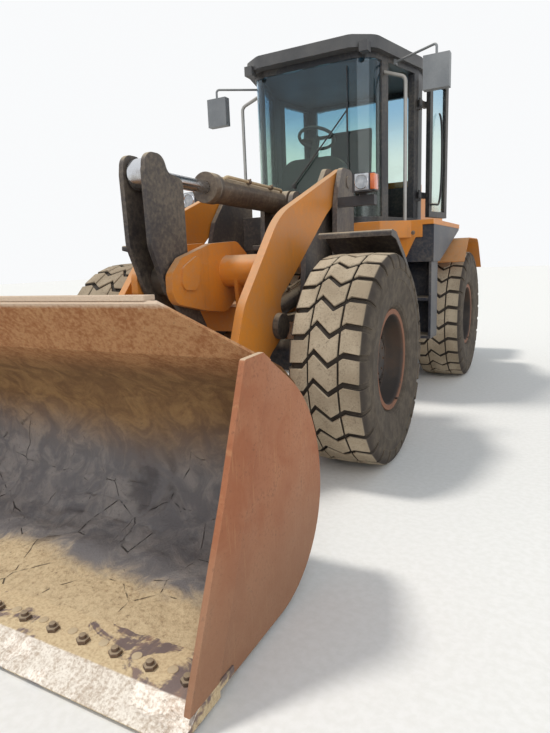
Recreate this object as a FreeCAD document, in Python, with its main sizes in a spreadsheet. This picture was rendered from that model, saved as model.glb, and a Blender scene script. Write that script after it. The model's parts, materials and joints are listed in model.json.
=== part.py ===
"""Articulated wheel loader, millimetres. Front is -Y, its left side is +X, up is +Z.

The origin is on the ground, under the middle of the machine's box.
Places on the front half are measured back from the front axle, with front_y.
Places on the rear half are measured back from the steering hinge, with rear_y.
"""
import FreeCAD, Part
import math
import os
import re

# Driving dimensions
SIZES = (
    # name, millimetres
    ("wheelbase", 3250),
    ("bucket_reach", 2660),
    ("tail_reach", 3455),
    ("track_half", 1000),
    ("tyre_radius", 745),
    ("tyre_width", 520),
    ("bead_inset", 62),
    ("lug_count", 26),
    ("groove_width", 38),
    ("groove_depth", 26),
    ("groove_slant", 16),
    ("rim_radius", 330),
    ("flange_height", 27),
    ("rim_wall", 16),
    ("disc_inset", 150),
    ("hub_radius", 150),
    ("fit_gap", 0.3),
    ("move_gap", 12),
    ("axle_ball", 200),
    ("axle_tube", 120),
    ("brake_drum", 190),
    ("drum_width", 150),
    ("deck_gap", 15),
    ("chassis_half", 230),
    ("chassis_front", -330),
    ("chassis_rear", -300),
    ("deck_height", 180),
    ("keel_front", 330),
    ("fork_low_z", 545),
    ("fork_high_z", 1030),
    ("fork_plate", 50),
    ("lug_thick", 60),
    ("lug_gap", 5),
    ("lug_radius", 115),
    ("hinge_pin", 48),
    ("tower_plate", 40),
    ("tower_top_z", 2195),
    ("tie_down_y", 1060),
    ("tie_down_z", 1160),
    ("tie_down_radius", 32),
    ("arm_pin_y", 850),
    ("arm_pin_z", 2090),
    ("arm_pin_radius", 50),
    ("arm_inner", 480),
    ("arm_thick", 60),
    ("bucket_pin_y", -1380),
    ("bucket_pin_z", 330),
    ("pin_radius", 45),
    ("crank_sleeve_radius", 98),
    ("link_sleeve_radius", 116),
    ("pin_head_radius", 90),
    ("boss_radius", 105),
    ("cross_tube_y", -430),
    ("cross_tube_z", 1400),
    ("cross_tube_radius", 110),
    ("crank_pin_y", -890),
    ("crank_pin_z", 1365),
    ("crank_top_y", -1045),
    ("crank_top_z", 1995),
    ("crank_foot_y", -600),
    ("crank_foot_z", 740),
    ("crank_half", 100),
    ("crank_plate", 34),
    ("crank_ear", 50),
    ("ear_pin_y", -1366),
    ("ear_pin_z", 660),
    ("link_half", 46),
    ("link_ear", 40),
    ("tilt_base_y", 750),
    ("tilt_base_z", 1960),
    ("tilt_barrel_radius", 96),
    ("tilt_rod_radius", 44),
    ("tilt_eye", 52),
    ("tilt_base_half", 100),
    ("lift_x", 346),
    ("lift_base_y", 800),
    ("lift_base_z", 1300),
    ("lift_eye_y", -420),
    ("lift_eye_z", 1020),
    ("lift_barrel_radius", 70),
    ("lift_base_half", 77),
    ("lift_rod_radius", 40),
    ("lift_eye_radius", 78),
    ("lift_eye_half", 45),
    ("lift_ear", 28),
    ("small_pin", 38),
    ("steer_barrel_x", 300),
    ("steer_barrel_y", 560),
    ("steer_rod_x", 368),
    ("steer_rod_y", -380),
    ("steer_z", 870),
    ("steer_barrel_radius", 50),
    ("steer_rod_radius", 28),
    ("steer_eye", 55),
    ("steer_eye_radius", 56),
    ("steer_bracket", 30),
    ("bucket_half", 1320),
    ("bucket_side", 25),
    ("bucket_wall", 22),
    ("bucket_floor_z", 40),
    ("bucket_back_y", -1545),
    ("bucket_heel_radius", 420),
    ("bucket_crest_radius", 640),
    ("bucket_shoulder_z", 800),
    ("bucket_top_y", -2025),
    ("bucket_top_z", 1119),
    ("guard_top_y", -2150),
    ("guard_top_z", 1330),
    ("guard_half", 890),
    ("lip_depth", 65),
    ("edge_low_z", 15),
    ("edge_thick", 25),
    ("edge_width", 230),
    ("base_edge_width", 260),
    ("base_edge_thick", 32),
    ("fender_wall", 8),
    ("fender_inner", 668),
    ("fender_width", 540),
    ("lamp_x", 805),
    ("lamp_z", 2035),
    ("frame_half", 360),
    ("frame_plate", 32),
    ("frame_low_z", 640),
    ("frame_top_z", 1300),
    ("frame_front", 640),
    ("weight_depth", 455),
    ("shaft_radius", 30),
    ("shaft_z", 820),
    ("engine_half", 300),
    ("engine_front", 2010),
    ("engine_length", 890),
    ("engine_low_z", 1010),
    ("engine_height", 940),
    ("gearbox_half", 250),
    ("gearbox_front", 750),
    ("gearbox_length", 480),
    ("weight_half", 1080),
    ("weight_top_z", 1400),
    ("weight_low_z", 590),
    ("weight_corner", 220),
    ("tow_inset", 85),
    ("tow_pin_radius", 26),
    ("tow_floor_z", 690),
    ("tow_roof_z", 900),
    ("tow_half", 130),
    ("wing_front", 2560),
    ("wing_inner", 430),
    ("wing_low_z", 930),
    ("cab_front", -230),
    ("cab_length", 1580),
    ("cab_half", 850),
    ("cab_floor_z", 1790),
    ("cab_eaves_z", 3290),
    ("cab_top_z", 3395),
    ("cab_wall", 60),
    ("cab_corner", 230),
    ("cab_nose_half", 600),
    ("cab_rear_half", 690),
    ("cab_side_front", 600),
    ("cab_side_rear", 760),
    ("pillar_front", -25),
    ("quarter_front", 830),
    ("sill_z", 1845),
    ("lintel_z", 3235),
    ("glass_thick", 8),
    ("glass_inset", 14),
    ("roof_overhang", 30),
    ("roof_visor", 115),
    ("door_front", 75),
    ("door_rear", 525),
    ("door_wall", 45),
    ("door_frame", 60),
    ("door_hinge_x", 872),
    ("door_hinge_y", 585),
    ("door_open", 184),
    ("platform_low_z", 1400),
    ("platform_plate", 45),
    ("platform_half", 1150),
    ("platform_front", 0),
    ("platform_rear", 1350),
    ("fascia_half", 1045),
    ("fascia_bend", 940),
    ("fascia_flat", 700),
    ("fascia_front", -225),
    ("fascia_low_z", 1630),
    ("box_inner", 800),
    ("step_front", 10),
    ("step_depth", 280),
    ("step_inner", 830),
    ("step_outer", 1130),
    ("step_rise", 370),
    ("tread_thick", 30),
    ("cooler_gap", 45),
    ("cooler_length", 455),
    ("cooler_half", 600),
    ("cooler_top_z", 2330),
    ("hood_gap", 15),
    ("hood_inset", 150),
    ("hood_half", 580),
    ("hood_low_z", 1425),
    ("hood_front_z", 2260),
    ("hood_rear_z", 2010),
    ("hood_wall", 30),
    ("hood_hinge_inset", 110),
    ("hood_hinge_z", 1450),
    ("hood_hinge_x", 400),
    ("rail_radius", 17),
    ("mirror_x", 1155),
    ("stack_radius", 55),
)

doc = FreeCAD.newDocument("wheel_loader")
sheet = doc.addObject("Spreadsheet::Sheet", "Sizes")
for row, (name, value) in enumerate(SIZES, 1):
    sheet.set("A%d" % row, name)
    sheet.set("B%d" % row, str(value))
    sheet.setAlias("B%d" % row, name)
doc.recompute()


class Values:
    """The sheet's values, read back by name."""


v = Values()
for name, value in SIZES:
    setattr(v, name, float(sheet.get(name)))

ALIAS = re.compile(r"\b(%s)\b" % "|".join(name for name, value in SIZES))
length = v.bucket_reach + v.wheelbase / 2 + v.tail_reach
axle_front = v.bucket_reach - length / 2
hinge_y = axle_front + v.wheelbase / 2
axle_rear = axle_front + v.wheelbase
axle_z = v.tyre_radius
frame_end = v.tail_reach - v.weight_depth
tow_pin_y = v.tail_reach - v.tow_inset
hood_hinge_y = v.tail_reach - v.hood_hinge_inset
cooler_front = v.cab_front + v.cab_length + v.cooler_gap
X, Y, Z = FreeCAD.Vector(1, 0, 0), FreeCAD.Vector(0, 1, 0), FreeCAD.Vector(0, 0, 1)
nodes = []


def front_y(y):
    """A place behind the front axle, in the row's frame."""
    return axle_front + y


def rear_y(y):
    """A place behind the steering hinge, in the row's frame."""
    return hinge_y + y


def at(x, y, z):
    return FreeCAD.Vector(x, y, z)


def bind(thing, **sizes):
    """Ties each property to the sheet. A text holds the sheet's names."""
    for key, text in sizes.items():
        thing.setExpression(key, ALIAS.sub(r"Sizes.\1", str(text)))
    return thing


def block(low, lengths):
    """A box from its low corner, with its three lengths as numbers or texts."""
    thing = doc.addObject("Part::Box", "block")
    thing.Placement.Base = at(*low)
    return bind(thing, Length=lengths[0], Width=lengths[1], Height=lengths[2])


def bar(start, radius, run, way=X):
    """A round bar from start, along way."""
    thing = doc.addObject("Part::Cylinder", "bar")
    thing.Placement = FreeCAD.Placement(at(*start), FreeCAD.Rotation(Z, way))
    return bind(thing, Radius=radius, Height=run)


def ring(start, outer, inner, run, way=X):
    """A tube: a bar less its bore."""
    return cut(bar(start, outer, run, way), bar(start, inner, run, way))


def shape(solid, name="shape"):
    """A solid made with the geometry functions, as an object of the document."""
    thing = doc.addObject("Part::Feature", name)
    thing.Shape = solid
    return thing


def fuse(*things):
    thing = doc.addObject("Part::MultiFuse", "joined")
    thing.Shapes = list(things)
    return thing


def cut(base, *tools):
    thing = doc.addObject("Part::Cut", "cut")
    thing.Base = base
    thing.Tool = tools[0] if len(tools) == 1 else fuse(*tools)
    return thing


def common(base, tool):
    thing = doc.addObject("Part::Common", "kept")
    thing.Base = base
    thing.Tool = tool
    return thing


def other_side(thing):
    """The same piece on the machine's other side."""
    twin = doc.addObject("Part::Mirroring", "other_side")
    twin.Source = thing
    twin.Normal = X
    return twin


def pair(thing):
    return gather(thing, other_side(thing))


def gather(*things):
    """Solids that don't touch, in one node."""
    thing = doc.addObject("Part::Compound", "group")
    thing.Links = list(things)
    return thing


def rounded(corners, lift):
    """A closed wire through (a, b, corner radius) corners, each lifted to its place.

    Two radii that don't fit on one side shrink together until they do.
    """
    spots = [lift(a, b) for a, b, radius in corners]
    count = len(spots)
    backs, aheads, halves, reaches = [], [], [], []
    for i, (a, b, radius) in enumerate(corners):
        backs.append((spots[i - 1] - spots[i]).normalize())
        aheads.append((spots[(i + 1) % count] - spots[i]).normalize())
        halves.append(backs[i].getAngle(aheads[i]) / 2)
        reaches.append(radius / math.tan(halves[i]) if radius > 0 else 0)
    runs = [spots[i].distanceToPoint(spots[(i + 1) % count]) for i in range(count)]
    shares = [min(1, 0.99 * runs[i] / max(reaches[i] + reaches[(i + 1) % count], 1e-6)) for i in range(count)]
    bends = []
    for i, here in enumerate(spots):
        reach = reaches[i] * min(shares[i - 1], shares[i])
        if reach <= 0:
            bends.append((here, None, here))
            continue
        radius = reach * math.tan(halves[i])
        inward = (backs[i] + aheads[i]).normalize()
        middle = here + inward * (radius / math.sin(halves[i]) - radius)
        bends.append((here + backs[i] * reach, middle, here + aheads[i] * reach))
    edges = []
    for i, (first, middle, last) in enumerate(bends):
        if middle:
            edges.append(Part.Arc(first, middle, last).toShape())
        following = bends[(i + 1) % count][0]
        if last.distanceToPoint(following) > 1e-4:
            edges.append(Part.LineSegment(last, following).toShape())
    return Part.Wire(edges)


def plate(corners, lift, way, thick):
    """A flat plate: its outline pushed out along way by thick."""
    thing = doc.addObject("Part::Extrusion", "plate")
    thing.Base = shape(Part.Face(rounded(corners, lift)), "outline")
    thing.DirMode = "Custom"
    thing.Dir = way
    thing.Solid = True
    return bind(thing, LengthFwd=thick)


def side_plate(corners, x, thick, place=front_y):
    """A plate across X from x. Its corners are (y, z, corner radius)."""
    return plate(corners, lambda a, b: at(x, place(a), b), X, thick)


def face_plate(corners, y, thick):
    """A plate across Y from y. Its corners are (x, z, corner radius)."""
    return plate(corners, lambda a, b: at(a, y, b), Y, thick)


def level_plate(corners, z, thick, place=rear_y):
    """A plate across Z from z. Its corners are (x, y, corner radius)."""
    return plate(corners, lambda a, b: at(a, place(b), z), Z, thick)


def turned(profile, x, y, z):
    """A solid of revolution about X through (y, z). The profile is (x, radius, corner radius)."""
    wire = rounded(profile, lambda a, b: at(x + a, y + b, z))
    return shape(Part.Face(wire).revolve(at(x, y, z), X, 360), "turned")


def strip(path, wall):
    """The closed outline of a bent plate: an open path of (a, b, radius) and its wall."""
    inner = []
    last = len(path) - 1
    for i, (a, b, radius) in enumerate(path):
        ways = []
        if i > 0:
            ways.append(math.atan2(b - path[i - 1][1], a - path[i - 1][0]))
        if i < last:
            ways.append(math.atan2(path[i + 1][1] - b, path[i + 1][0] - a))
        turn = (ways[-1] - ways[0] + math.pi) % (2 * math.pi) - math.pi
        middle = ways[0] + turn / 2
        reach = wall / math.cos(turn / 2)
        tight = radius - wall if turn * wall < 0 else radius + wall
        corner = max(tight, 0) if radius else 0
        inner.append((a + reach * math.sin(middle), b - reach * math.cos(middle), corner))
    return list(path) + inner[::-1]


def drawn_in(corners, inset):
    """A closed outline moved inwards by inset. Its corners run anticlockwise."""
    moved = []
    for i, (a, b, radius) in enumerate(corners):
        before, after = corners[i - 1], corners[(i + 1) % len(corners)]
        first = math.atan2(b - before[1], a - before[0])
        second = math.atan2(after[1] - b, after[0] - a)
        turn = (second - first + math.pi) % (2 * math.pi) - math.pi
        middle = first + turn / 2
        reach = inset / math.cos(turn / 2)
        moved.append((a - reach * math.sin(middle), b + reach * math.cos(middle), max(radius - inset, 1)))
    return moved


def pipe(points, radius, bend):
    """A round tube along straight runs, with a round bend at each inner point."""
    spots = [at(*point) for point in points]
    edges = []
    start = spots[0]
    for before, here, after in zip(spots, spots[1:], spots[2:]):
        back = (before - here).normalize()
        ahead = (after - here).normalize()
        half = back.getAngle(ahead) / 2
        first = here + back * (bend / math.tan(half))
        last = here + ahead * (bend / math.tan(half))
        middle = here + (back + ahead).normalize() * (bend / math.sin(half) - bend)
        edges.append(Part.LineSegment(start, first).toShape())
        edges.append(Part.Arc(first, middle, last).toShape())
        start = last
    edges.append(Part.LineSegment(start, spots[-1]).toShape())
    way = (spots[1] - spots[0]).normalize()
    section = Part.Wire(Part.makeCircle(radius, spots[0], way))
    return shape(Part.Wire(edges).makePipeShell([section], True, True), "pipe")


def node(name, thing):
    """Marks a finished piece, which is written to its own file."""
    thing.Label = name
    nodes.append((name, thing))
    return thing


# Wheels
def tyre_profile():
    """Across, radius and corner radius. The beads sit on the rim, inside its flanges."""
    half = v.tyre_width / 2
    tread = v.tyre_radius
    bead = v.rim_radius + v.fit_gap
    seat = half - v.bead_inset
    flange = v.rim_radius + v.flange_height + v.fit_gap
    right = [(half - 30, tread, 25), (half, tread - 70, 30), (half - 8, tread - 190, 60),
             (seat + 30, flange + 25, 10), (seat, flange + 5, 4), (seat, bead, 0)]
    left = [(-a, b, radius) for a, b, radius in right]
    return right + left[::-1]


def rim_profile():
    """The rim's barrel with its flanges, the dished disc and the hub's cap."""
    seat = v.tyre_width / 2 - v.bead_inset + 2 * v.fit_gap
    lip = seat + v.rim_wall
    flange = v.rim_radius + v.flange_height
    inside = v.rim_radius - v.rim_wall
    disc = seat - v.disc_inset
    face = disc + 1.5 * v.rim_wall
    cap = face + 45
    return [(-lip, flange, 0), (-seat, flange, 0), (-seat, v.rim_radius, 0), (seat, v.rim_radius, 0),
            (seat, flange, 0), (lip, flange, 0), (lip, inside, 6), (face, inside, 6),
            (face, v.hub_radius, 0), (cap, v.hub_radius, 12), (cap, 0, 0), (disc, 0, 0),
            (disc, inside, 6), (-lip, inside, 0)]


def tread_grooves(x, y):
    """Cutters for the tread's grooves: a bent pair of slots at each lug, open at the shoulders."""
    floor = v.tyre_radius - v.groove_depth
    half = v.tyre_width / 2
    cutters = []
    for count in range(int(v.lug_count)):
        angle = 360 * count / v.lug_count
        for side in (1, -1):
            slot = Part.makeBox(half + 40, v.groove_width, 60, at(0, -v.groove_width / 2, floor))
            slot.rotate(at(0, 0, 0), Z, side * v.groove_slant if side > 0 else 180 - side * v.groove_slant)
            slot.rotate(at(0, 0, 0), X, angle)
            slot.translate(at(x, y, axle_z))
            cutters.append(slot)
    return shape(Part.makeCompound(cutters), "grooves")


def wheel(place, side, y):
    name = place + ("_left" if side > 0 else "_right")
    x = side * v.track_half
    rim = [(side * a, b, radius) for a, b, radius in rim_profile()]
    node("tyre_" + name, cut(turned(tyre_profile(), x, y, axle_z), tread_grooves(x, y)))
    node("rim_" + name, turned(rim, x, y, axle_z))


for place, y in (("front", axle_front), ("rear", axle_rear)):
    wheel(place, 1, y)
    wheel(place, -1, y)


# Axles
deck_z = axle_z + v.axle_ball + v.deck_gap


def axle(name, y, pad_x):
    """A housing with its ball in the middle, the brake drums and the pads under the frame."""
    disc_x = v.track_half + v.tyre_width / 2 - v.bead_inset + 2 * v.fit_gap - v.disc_inset
    drum_x = disc_x - v.drum_width - v.move_gap
    ball, tube = v.axle_ball, v.axle_tube
    housing = turned([(-ball, tube, 0), (-ball / 2, ball, 60), (ball / 2, ball, 60), (ball, tube, 0),
                      (ball, 0, 0), (-ball, 0, 0)], 0, y, axle_z)
    beam = bar((-drum_x, y, axle_z), "axle_tube", 2 * drum_x)
    drum = bar((drum_x, y, axle_z), "brake_drum", "drum_width")
    stub = bar((drum_x, y, axle_z), "axle_tube * 0.7", disc_x - drum_x - 2 * v.fit_gap)
    pad = block((pad_x - 70, y - 110, axle_z + 40), (140, 220, deck_z - axle_z - 40))
    right = [other_side(piece) for piece in (drum, stub, pad)]
    return node(name, fuse(housing, beam, drum, stub, pad, *right))


axle("front_axle", axle_front, v.chassis_half - 70)
axle("rear_axle", axle_rear, v.frame_half + v.frame_plate / 2)


# Front frame
def hinge_fork(low_z):
    """Two plates above and below the rear frame's lug, with the pin through them."""
    wide, lug = v.chassis_half, v.lug_radius
    outline = [(-wide, v.chassis_rear - 20, 0), (wide, v.chassis_rear - 20, 0), (lug, 20, 80), (lug * 0.6, lug, 60),
               (-lug * 0.6, lug, 60), (-lug, 20, 80)]
    step = v.fork_plate + v.lug_thick + 2 * v.lug_gap
    plates = [level_plate(outline, low_z + rise, "fork_plate") for rise in (0, step)]
    hinge = bar((0, hinge_y, low_z), "hinge_pin", "2 * fork_plate + lug_thick + 2 * lug_gap", Z)
    return plates + [hinge]


def front_chassis():
    """The deck over the axle, the keel behind it and the forks of the steering hinge."""
    keel_y = front_y(v.keel_front)
    rear_end = rear_y(v.chassis_rear)
    deck = block((-v.chassis_half, front_y(v.chassis_front), deck_z),
                 ("2 * chassis_half", rear_end - front_y(v.chassis_front), "deck_height"))
    keel = block((-v.chassis_half, keel_y, v.fork_low_z),
                 ("2 * chassis_half", rear_end - keel_y, deck_z - v.fork_low_z))
    shaft = bar((0, rear_end - 1, v.shaft_z), "shaft_radius", -v.chassis_rear, Y)
    knob = doc.addObject("Part::Sphere", "knob")
    knob.Placement.Base = at(0, hinge_y, v.shaft_z)
    bind(knob, Radius="1.5 * shaft_radius")
    lugs = []
    for low_z in steer_brackets():
        side, reach = v.chassis_half - 1, v.steer_rod_x + 55
        lug = level_plate([(side, v.steer_rod_y - 90, 0), (reach, v.steer_rod_y - 40, 50),
                           (reach, v.steer_rod_y + 60, 50), (side, v.chassis_rear, 0)], low_z, "steer_bracket")
        lugs += [lug, other_side(lug)]
    forks = hinge_fork(v.fork_low_z) + hinge_fork(v.fork_high_z)
    return node("front_chassis", fuse(deck, keel, shaft, knob, *forks, *lugs))


def steer_brackets():
    """The low faces of the two plates above and below a steering cylinder's eye."""
    reach = v.steer_eye + v.lug_gap
    return (v.steer_z - reach - v.steer_bracket, v.steer_z + reach)


def tower(side):
    """The two plates that hold an arm's rear end, their back plate and the lift cylinder's bracket."""
    inside = v.arm_inner - v.move_gap
    outside = v.arm_inner + v.arm_thick + v.move_gap
    foot_z = deck_z + 20
    top = v.tower_top_z
    inner = side_plate([(160, foot_z, 0), (230, 1550, 200), (330, 1800, 60), (680, top, 90),
                        (985, top, 100), (985, 1430, 60), (1130, 1270, 60), (1130, foot_z, 0)],
                       inside - v.tower_plate, "tower_plate")
    outer = side_plate([(560, 1400, 0), (582, 1720, 0), (592, 1900, 100), (640, 2040, 100), (720, top, 60),
                        (985, top, 100), (985, 1500, 60), (920, 1400, 0)], outside, "tower_plate")
    back = block((inside - 1, front_y(955), 1500), (outside - inside + 2, 30, 400))
    shelf = block((inside - 1, front_y(480), 1395), (outside - inside + 2, 440, 30))
    foot = block((v.chassis_half, front_y(170), foot_z), (inside - v.tower_plate - v.chassis_half + 1, 950, 50))
    bracket_x = v.lift_x - v.lift_base_half - v.lug_gap - 30
    bracket = side_plate([(620, foot_z + 40, 0), (710, 1400, 60), (890, 1400, 60), (980, foot_z + 40, 0)],
                         bracket_x, 30)
    arm_pin = bar((inside - v.tower_plate - 10, front_y(v.arm_pin_y), v.arm_pin_z), "arm_pin_radius",
                  outside - inside + 2 * v.tower_plate + 20)
    lift_pin = bar((bracket_x, front_y(v.lift_base_y), v.lift_base_z), "small_pin",
                   inside - v.tower_plate - bracket_x + 5)
    left = fuse(inner, outer, back, shelf, foot, bracket, arm_pin, lift_pin)
    tie_down = bar((0, front_y(v.tie_down_y), v.tie_down_z), "tie_down_radius", 2 * v.arm_inner)
    left = cut(left, tie_down)
    return left if side > 0 else other_side(left)


def tilt_base():
    """The bridge between the towers that holds the tilt cylinder."""
    span = v.arm_inner - v.move_gap - v.tower_plate
    ear_x = v.tilt_base_half + v.move_gap
    beam = block((-span, front_y(800), 1560), (2 * span, 120, 300))
    floor = block((-200, front_y(560), 1560), (400, 250, 40))
    ear = side_plate([(630, 1580, 0), (655, 1960, 80), (700, 2055, 90), (830, 2040, 80), (860, 1580, 0)], ear_x, 45)
    reach = ear_x + 60
    base_pin = bar((-reach, front_y(v.tilt_base_y), v.tilt_base_z), "small_pin", 2 * reach)
    return node("tilt_base", fuse(beam, floor, ear, other_side(ear), base_pin))


def front_fenders():
    """A bent plate over each front wheel, carried by an arm from the tower."""
    path = [(10, 1600, 0), (10, 1645, 20), (130, 1628, 80), (360, 1474, 200), (600, 1262, 200), (775, 1010, 150),
            (800, 850, 0)]
    shell = side_plate(strip(path, v.fender_wall), v.fender_inner, "fender_width")
    side = side_plate(path[:4] + [(600, 1262, 0), (590, 1228, 0), (475, 1345, 200), (352, 1432, 200), (125, 1578, 60)],
                      v.fender_inner + v.fender_width - v.fender_wall, "fender_wall")
    inside = v.arm_inner - v.move_gap
    arm = block((inside, front_y(560), 1230), (v.fender_inner + 30 - inside, 40, 55))
    return node("front_fenders", pair(fuse(shell, side, arm)))


def head_lamps():
    """A lamp with its turn signal on a bracket from each tower."""
    outside = v.arm_inner + v.arm_thick + v.move_gap + v.tower_plate
    bracket = block((outside, front_y(600), v.lamp_z - 165), (v.lamp_x - outside + 95, 70, 75))
    post = block((v.lamp_x - 30, front_y(610), v.lamp_z - 95), (60, 50, 40))
    back = [(-50, 660, 25), (-65, 600, 15), (-65, 530, 12), (82, 530, 12), (82, 640, 15), (60, 660, 25)]
    body = level_plate([(v.lamp_x + x, y, radius) for x, y, radius in back], v.lamp_z - 70, 140, front_y)
    signal = block((v.lamp_x + 80, front_y(535), v.lamp_z - 66), (36, 115, 132))
    return node("head_lamps", pair(fuse(bracket, post, body, signal)))


front_chassis()
node("tower_left", tower(1))
node("tower_right", tower(-1))
tilt_base()
front_fenders()
head_lamps()


# Lift arms
ARM_OUTLINE = (
    # y, z, corner radius
    (965, 2250, 110), (-330, 1768, 700), (-860, 1190, 400), (-1010, 840, 400), (-1490, 375, 90),
    (-1340, 215, 90), (-900, 520, 400), (-530, 845, 200), (-345, 950, 60), (-345, 1095, 60), (-405, 1185, 100),
    (-210, 1307, 300), (472, 1800, 400), (745, 1958, 60), (900, 1965, 90), (975, 2060, 90),
)


def pin_hole(y, z, radius, half):
    """A cutter for a pin's hole, from -half to half across the machine."""
    return bar((-half, front_y(y), z), radius + " + fit_gap", 2 * half)


def lift_arm(side):
    arm = side_plate(ARM_OUTLINE, v.arm_inner, "arm_thick")
    boss = bar((v.arm_inner, front_y(v.bucket_pin_y), v.bucket_pin_z), "boss_radius", "arm_thick")
    arm = cut(fuse(arm, boss), pin_hole(v.arm_pin_y, v.arm_pin_z, "arm_pin_radius", 800),
              pin_hole(v.bucket_pin_y, v.bucket_pin_z, "pin_radius", 800))
    return arm if side > 0 else other_side(arm)


def boom_tube():
    """The tube between the arms, the ears that hold the bell crank and the lift cylinders' lugs."""
    tube = ring((-v.arm_inner, front_y(v.cross_tube_y), v.cross_tube_z), "cross_tube_radius",
                "cross_tube_radius - 25", 2 * v.arm_inner)
    ear_x = v.crank_half + v.move_gap
    ear = side_plate([(-1062, 1290, 50), (-1062, 1400, 70), (-950, 1500, 60), (-620, 1590, 300), (-290, 1610, 120),
                      (-120, 1500, 60), (-290, 1230, 60), (-470, 1118, 120), (-720, 1150, 100), (-1030, 1220, 80)],
                     ear_x, "crank_ear")
    ear = cut(ear, pin_hole(v.crank_pin_y, v.crank_pin_z, "pin_radius", 400))
    cap = side_plate([(-985, 1300, 60), (-960, 1440, 50), (-800, 1515, 40), (-745, 1465, 30), (-820, 1290, 60)],
                     ear_x + v.crank_ear, 14)
    lugs = []
    for x in (v.lift_x - v.lift_eye_half - v.lug_gap - v.lift_ear, v.lift_x + v.lift_eye_half + v.lug_gap):
        lug = side_plate([(-530, 1370, 0), (-500, 965, 70), (-375, 940, 70), (-345, 1060, 70), (-330, 1370, 0)],
                         x, "lift_ear")
        lugs.append(lug)
    pieces = [ear, cap] + lugs
    hollow = bar((-v.arm_inner, front_y(v.cross_tube_y), v.cross_tube_z), "cross_tube_radius - 1", 2 * v.arm_inner)
    pieces = [cut(piece, hollow) for piece in pieces]
    return node("boom_tube", fuse(tube, *pieces, *[other_side(piece) for piece in pieces]))


def lift_bosses():
    """The heads of the lift cylinders' front pins, on the arms' outer faces."""
    outside = v.arm_inner + v.arm_thick
    head = bar((outside, front_y(v.lift_eye_y), v.lift_eye_z), "lift_eye_radius + 12", 45)
    return node("lift_bosses", pair(head))


node("arm_left", lift_arm(1))
node("arm_right", lift_arm(-1))
boom_tube()
lift_bosses()


# Bell crank, link and their pins
def bell_crank():
    """Two plates with a web between them and a boss over the foot's pin."""
    outline = [(-1160, 1990, 60), (-1140, 2110, 75), (-985, 2110, 80), (-945, 2008, 60), (-800, 1985, 50),
               (-800, 1600, 200), (-790, 1290, 150), (-505, 835, 90), (-505, 645, 95), (-695, 645, 95),
               (-880, 1130, 200), (-1032, 1290, 120), (-1152, 1570, 200)]
    inner = v.crank_half - v.crank_plate
    hole = pin_hole(v.crank_pin_y, v.crank_pin_z, "pin_radius", 400)
    cheek = cut(side_plate(outline, inner, "crank_plate"), hole)
    web = side_plate([(-850, 1470, 0), (-850, 1760, 0), (-815, 1760, 0), (-815, 1470, 0)], -inner, 2 * inner)
    boss = bar((v.crank_half, front_y(v.crank_foot_y), v.crank_foot_z), "pin_radius + 20", 10)
    return node("bell_crank", fuse(gather(cheek, web, other_side(cheek)), boss, other_side(boss)))


def bucket_link():
    """The bar from the bell crank's foot to the bucket's middle ears."""
    across = v.link_half
    start = at(-across, front_y(v.crank_foot_y), v.crank_foot_z)
    foot = bar(tuple(start), 92, 2 * across)
    seat = bar((-across, front_y(v.ear_pin_y), v.ear_pin_z), "link_sleeve_radius + 0.3", 2 * across)
    body = side_plate([(v.crank_foot_y, v.crank_foot_z + 62, 0), (v.ear_pin_y, v.ear_pin_z + 55, 0),
                       (v.ear_pin_y, v.ear_pin_z - 55, 0), (v.crank_foot_y, v.crank_foot_z - 62, 0)], -38, 76)
    return node("bucket_link", cut(fuse(foot, body), seat))


def pin(name, y, z, low_x, high_x, sleeve_half, sleeve):
    """A pin across the machine, with the sleeve that turns on it."""
    piece = bar((low_x, front_y(y), z), "pin_radius", high_x - low_x)
    return node(name, fuse(piece, bar((-sleeve_half, front_y(y), z), sleeve, 2 * sleeve_half)))


def arm_pins():
    """The pins of the arms' front eyes, each with a wide head on its outer ear."""
    start = (ear_in_x + 1, front_y(v.bucket_pin_y), v.bucket_pin_z)
    shaft = bar(start, "pin_radius", ear_out_x - ear_in_x - 2)
    head = bar((ear_out_x + 14.5, start[1], start[2]), "pin_head_radius", 30)
    neck = bar((ear_out_x - 2, start[1], start[2]), "pin_radius", 18)
    return node("bucket_pins", pair(fuse(shaft, neck, head)))


bell_crank()
bucket_link()
ear_out = v.crank_half + v.move_gap + v.crank_ear
pin("crank_pin", v.crank_pin_y, v.crank_pin_z, -ear_out + 1, ear_out - 1, v.crank_half - v.crank_plate - 0.5,
    "crank_sleeve_radius")
link_ear_out = v.link_half + v.move_gap + v.link_ear
pin("link_pin", v.ear_pin_y, v.ear_pin_z, -link_ear_out + 1, link_ear_out - 1, v.link_half,
    "link_sleeve_radius")
ear_in_x = v.arm_inner - v.move_gap - v.link_ear
ear_out_x = v.arm_inner + v.arm_thick + v.move_gap + v.link_ear
arm_pins()


# Bucket
def bucket_path():
    """The shell's outer face in side view, from the base edge round the heel to the guard's top."""
    floor_front = -v.bucket_reach + v.base_edge_width + 60
    return [(floor_front, v.bucket_floor_z, 0), (v.bucket_back_y, v.bucket_floor_z, v.bucket_heel_radius),
            (v.bucket_back_y, v.bucket_shoulder_z, v.bucket_crest_radius - 20), (v.bucket_top_y, v.bucket_top_z, 0),
            (v.guard_top_y, v.guard_top_z, 0)]


def bucket_shell():
    inner = v.bucket_half - v.bucket_side
    shell = side_plate(strip(bucket_path(), -v.bucket_wall), -inner, 2 * inner)
    lip = block((-v.guard_half, front_y(v.guard_top_y - 12), v.guard_top_z - 2), ("2 * guard_half", "lip_depth", 20))
    top = v.guard_top_z + 30
    front = face_plate([(-inner, 0, 0), (inner, 0, 0), (inner, v.bucket_top_z + 5, 0), (v.guard_half, top, 0),
                        (-v.guard_half, top, 0), (-inner, v.bucket_top_z + 5, 0)], front_y(-2700), 1400)
    return node("bucket_shell", common(fuse(shell, lip), front))


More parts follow.
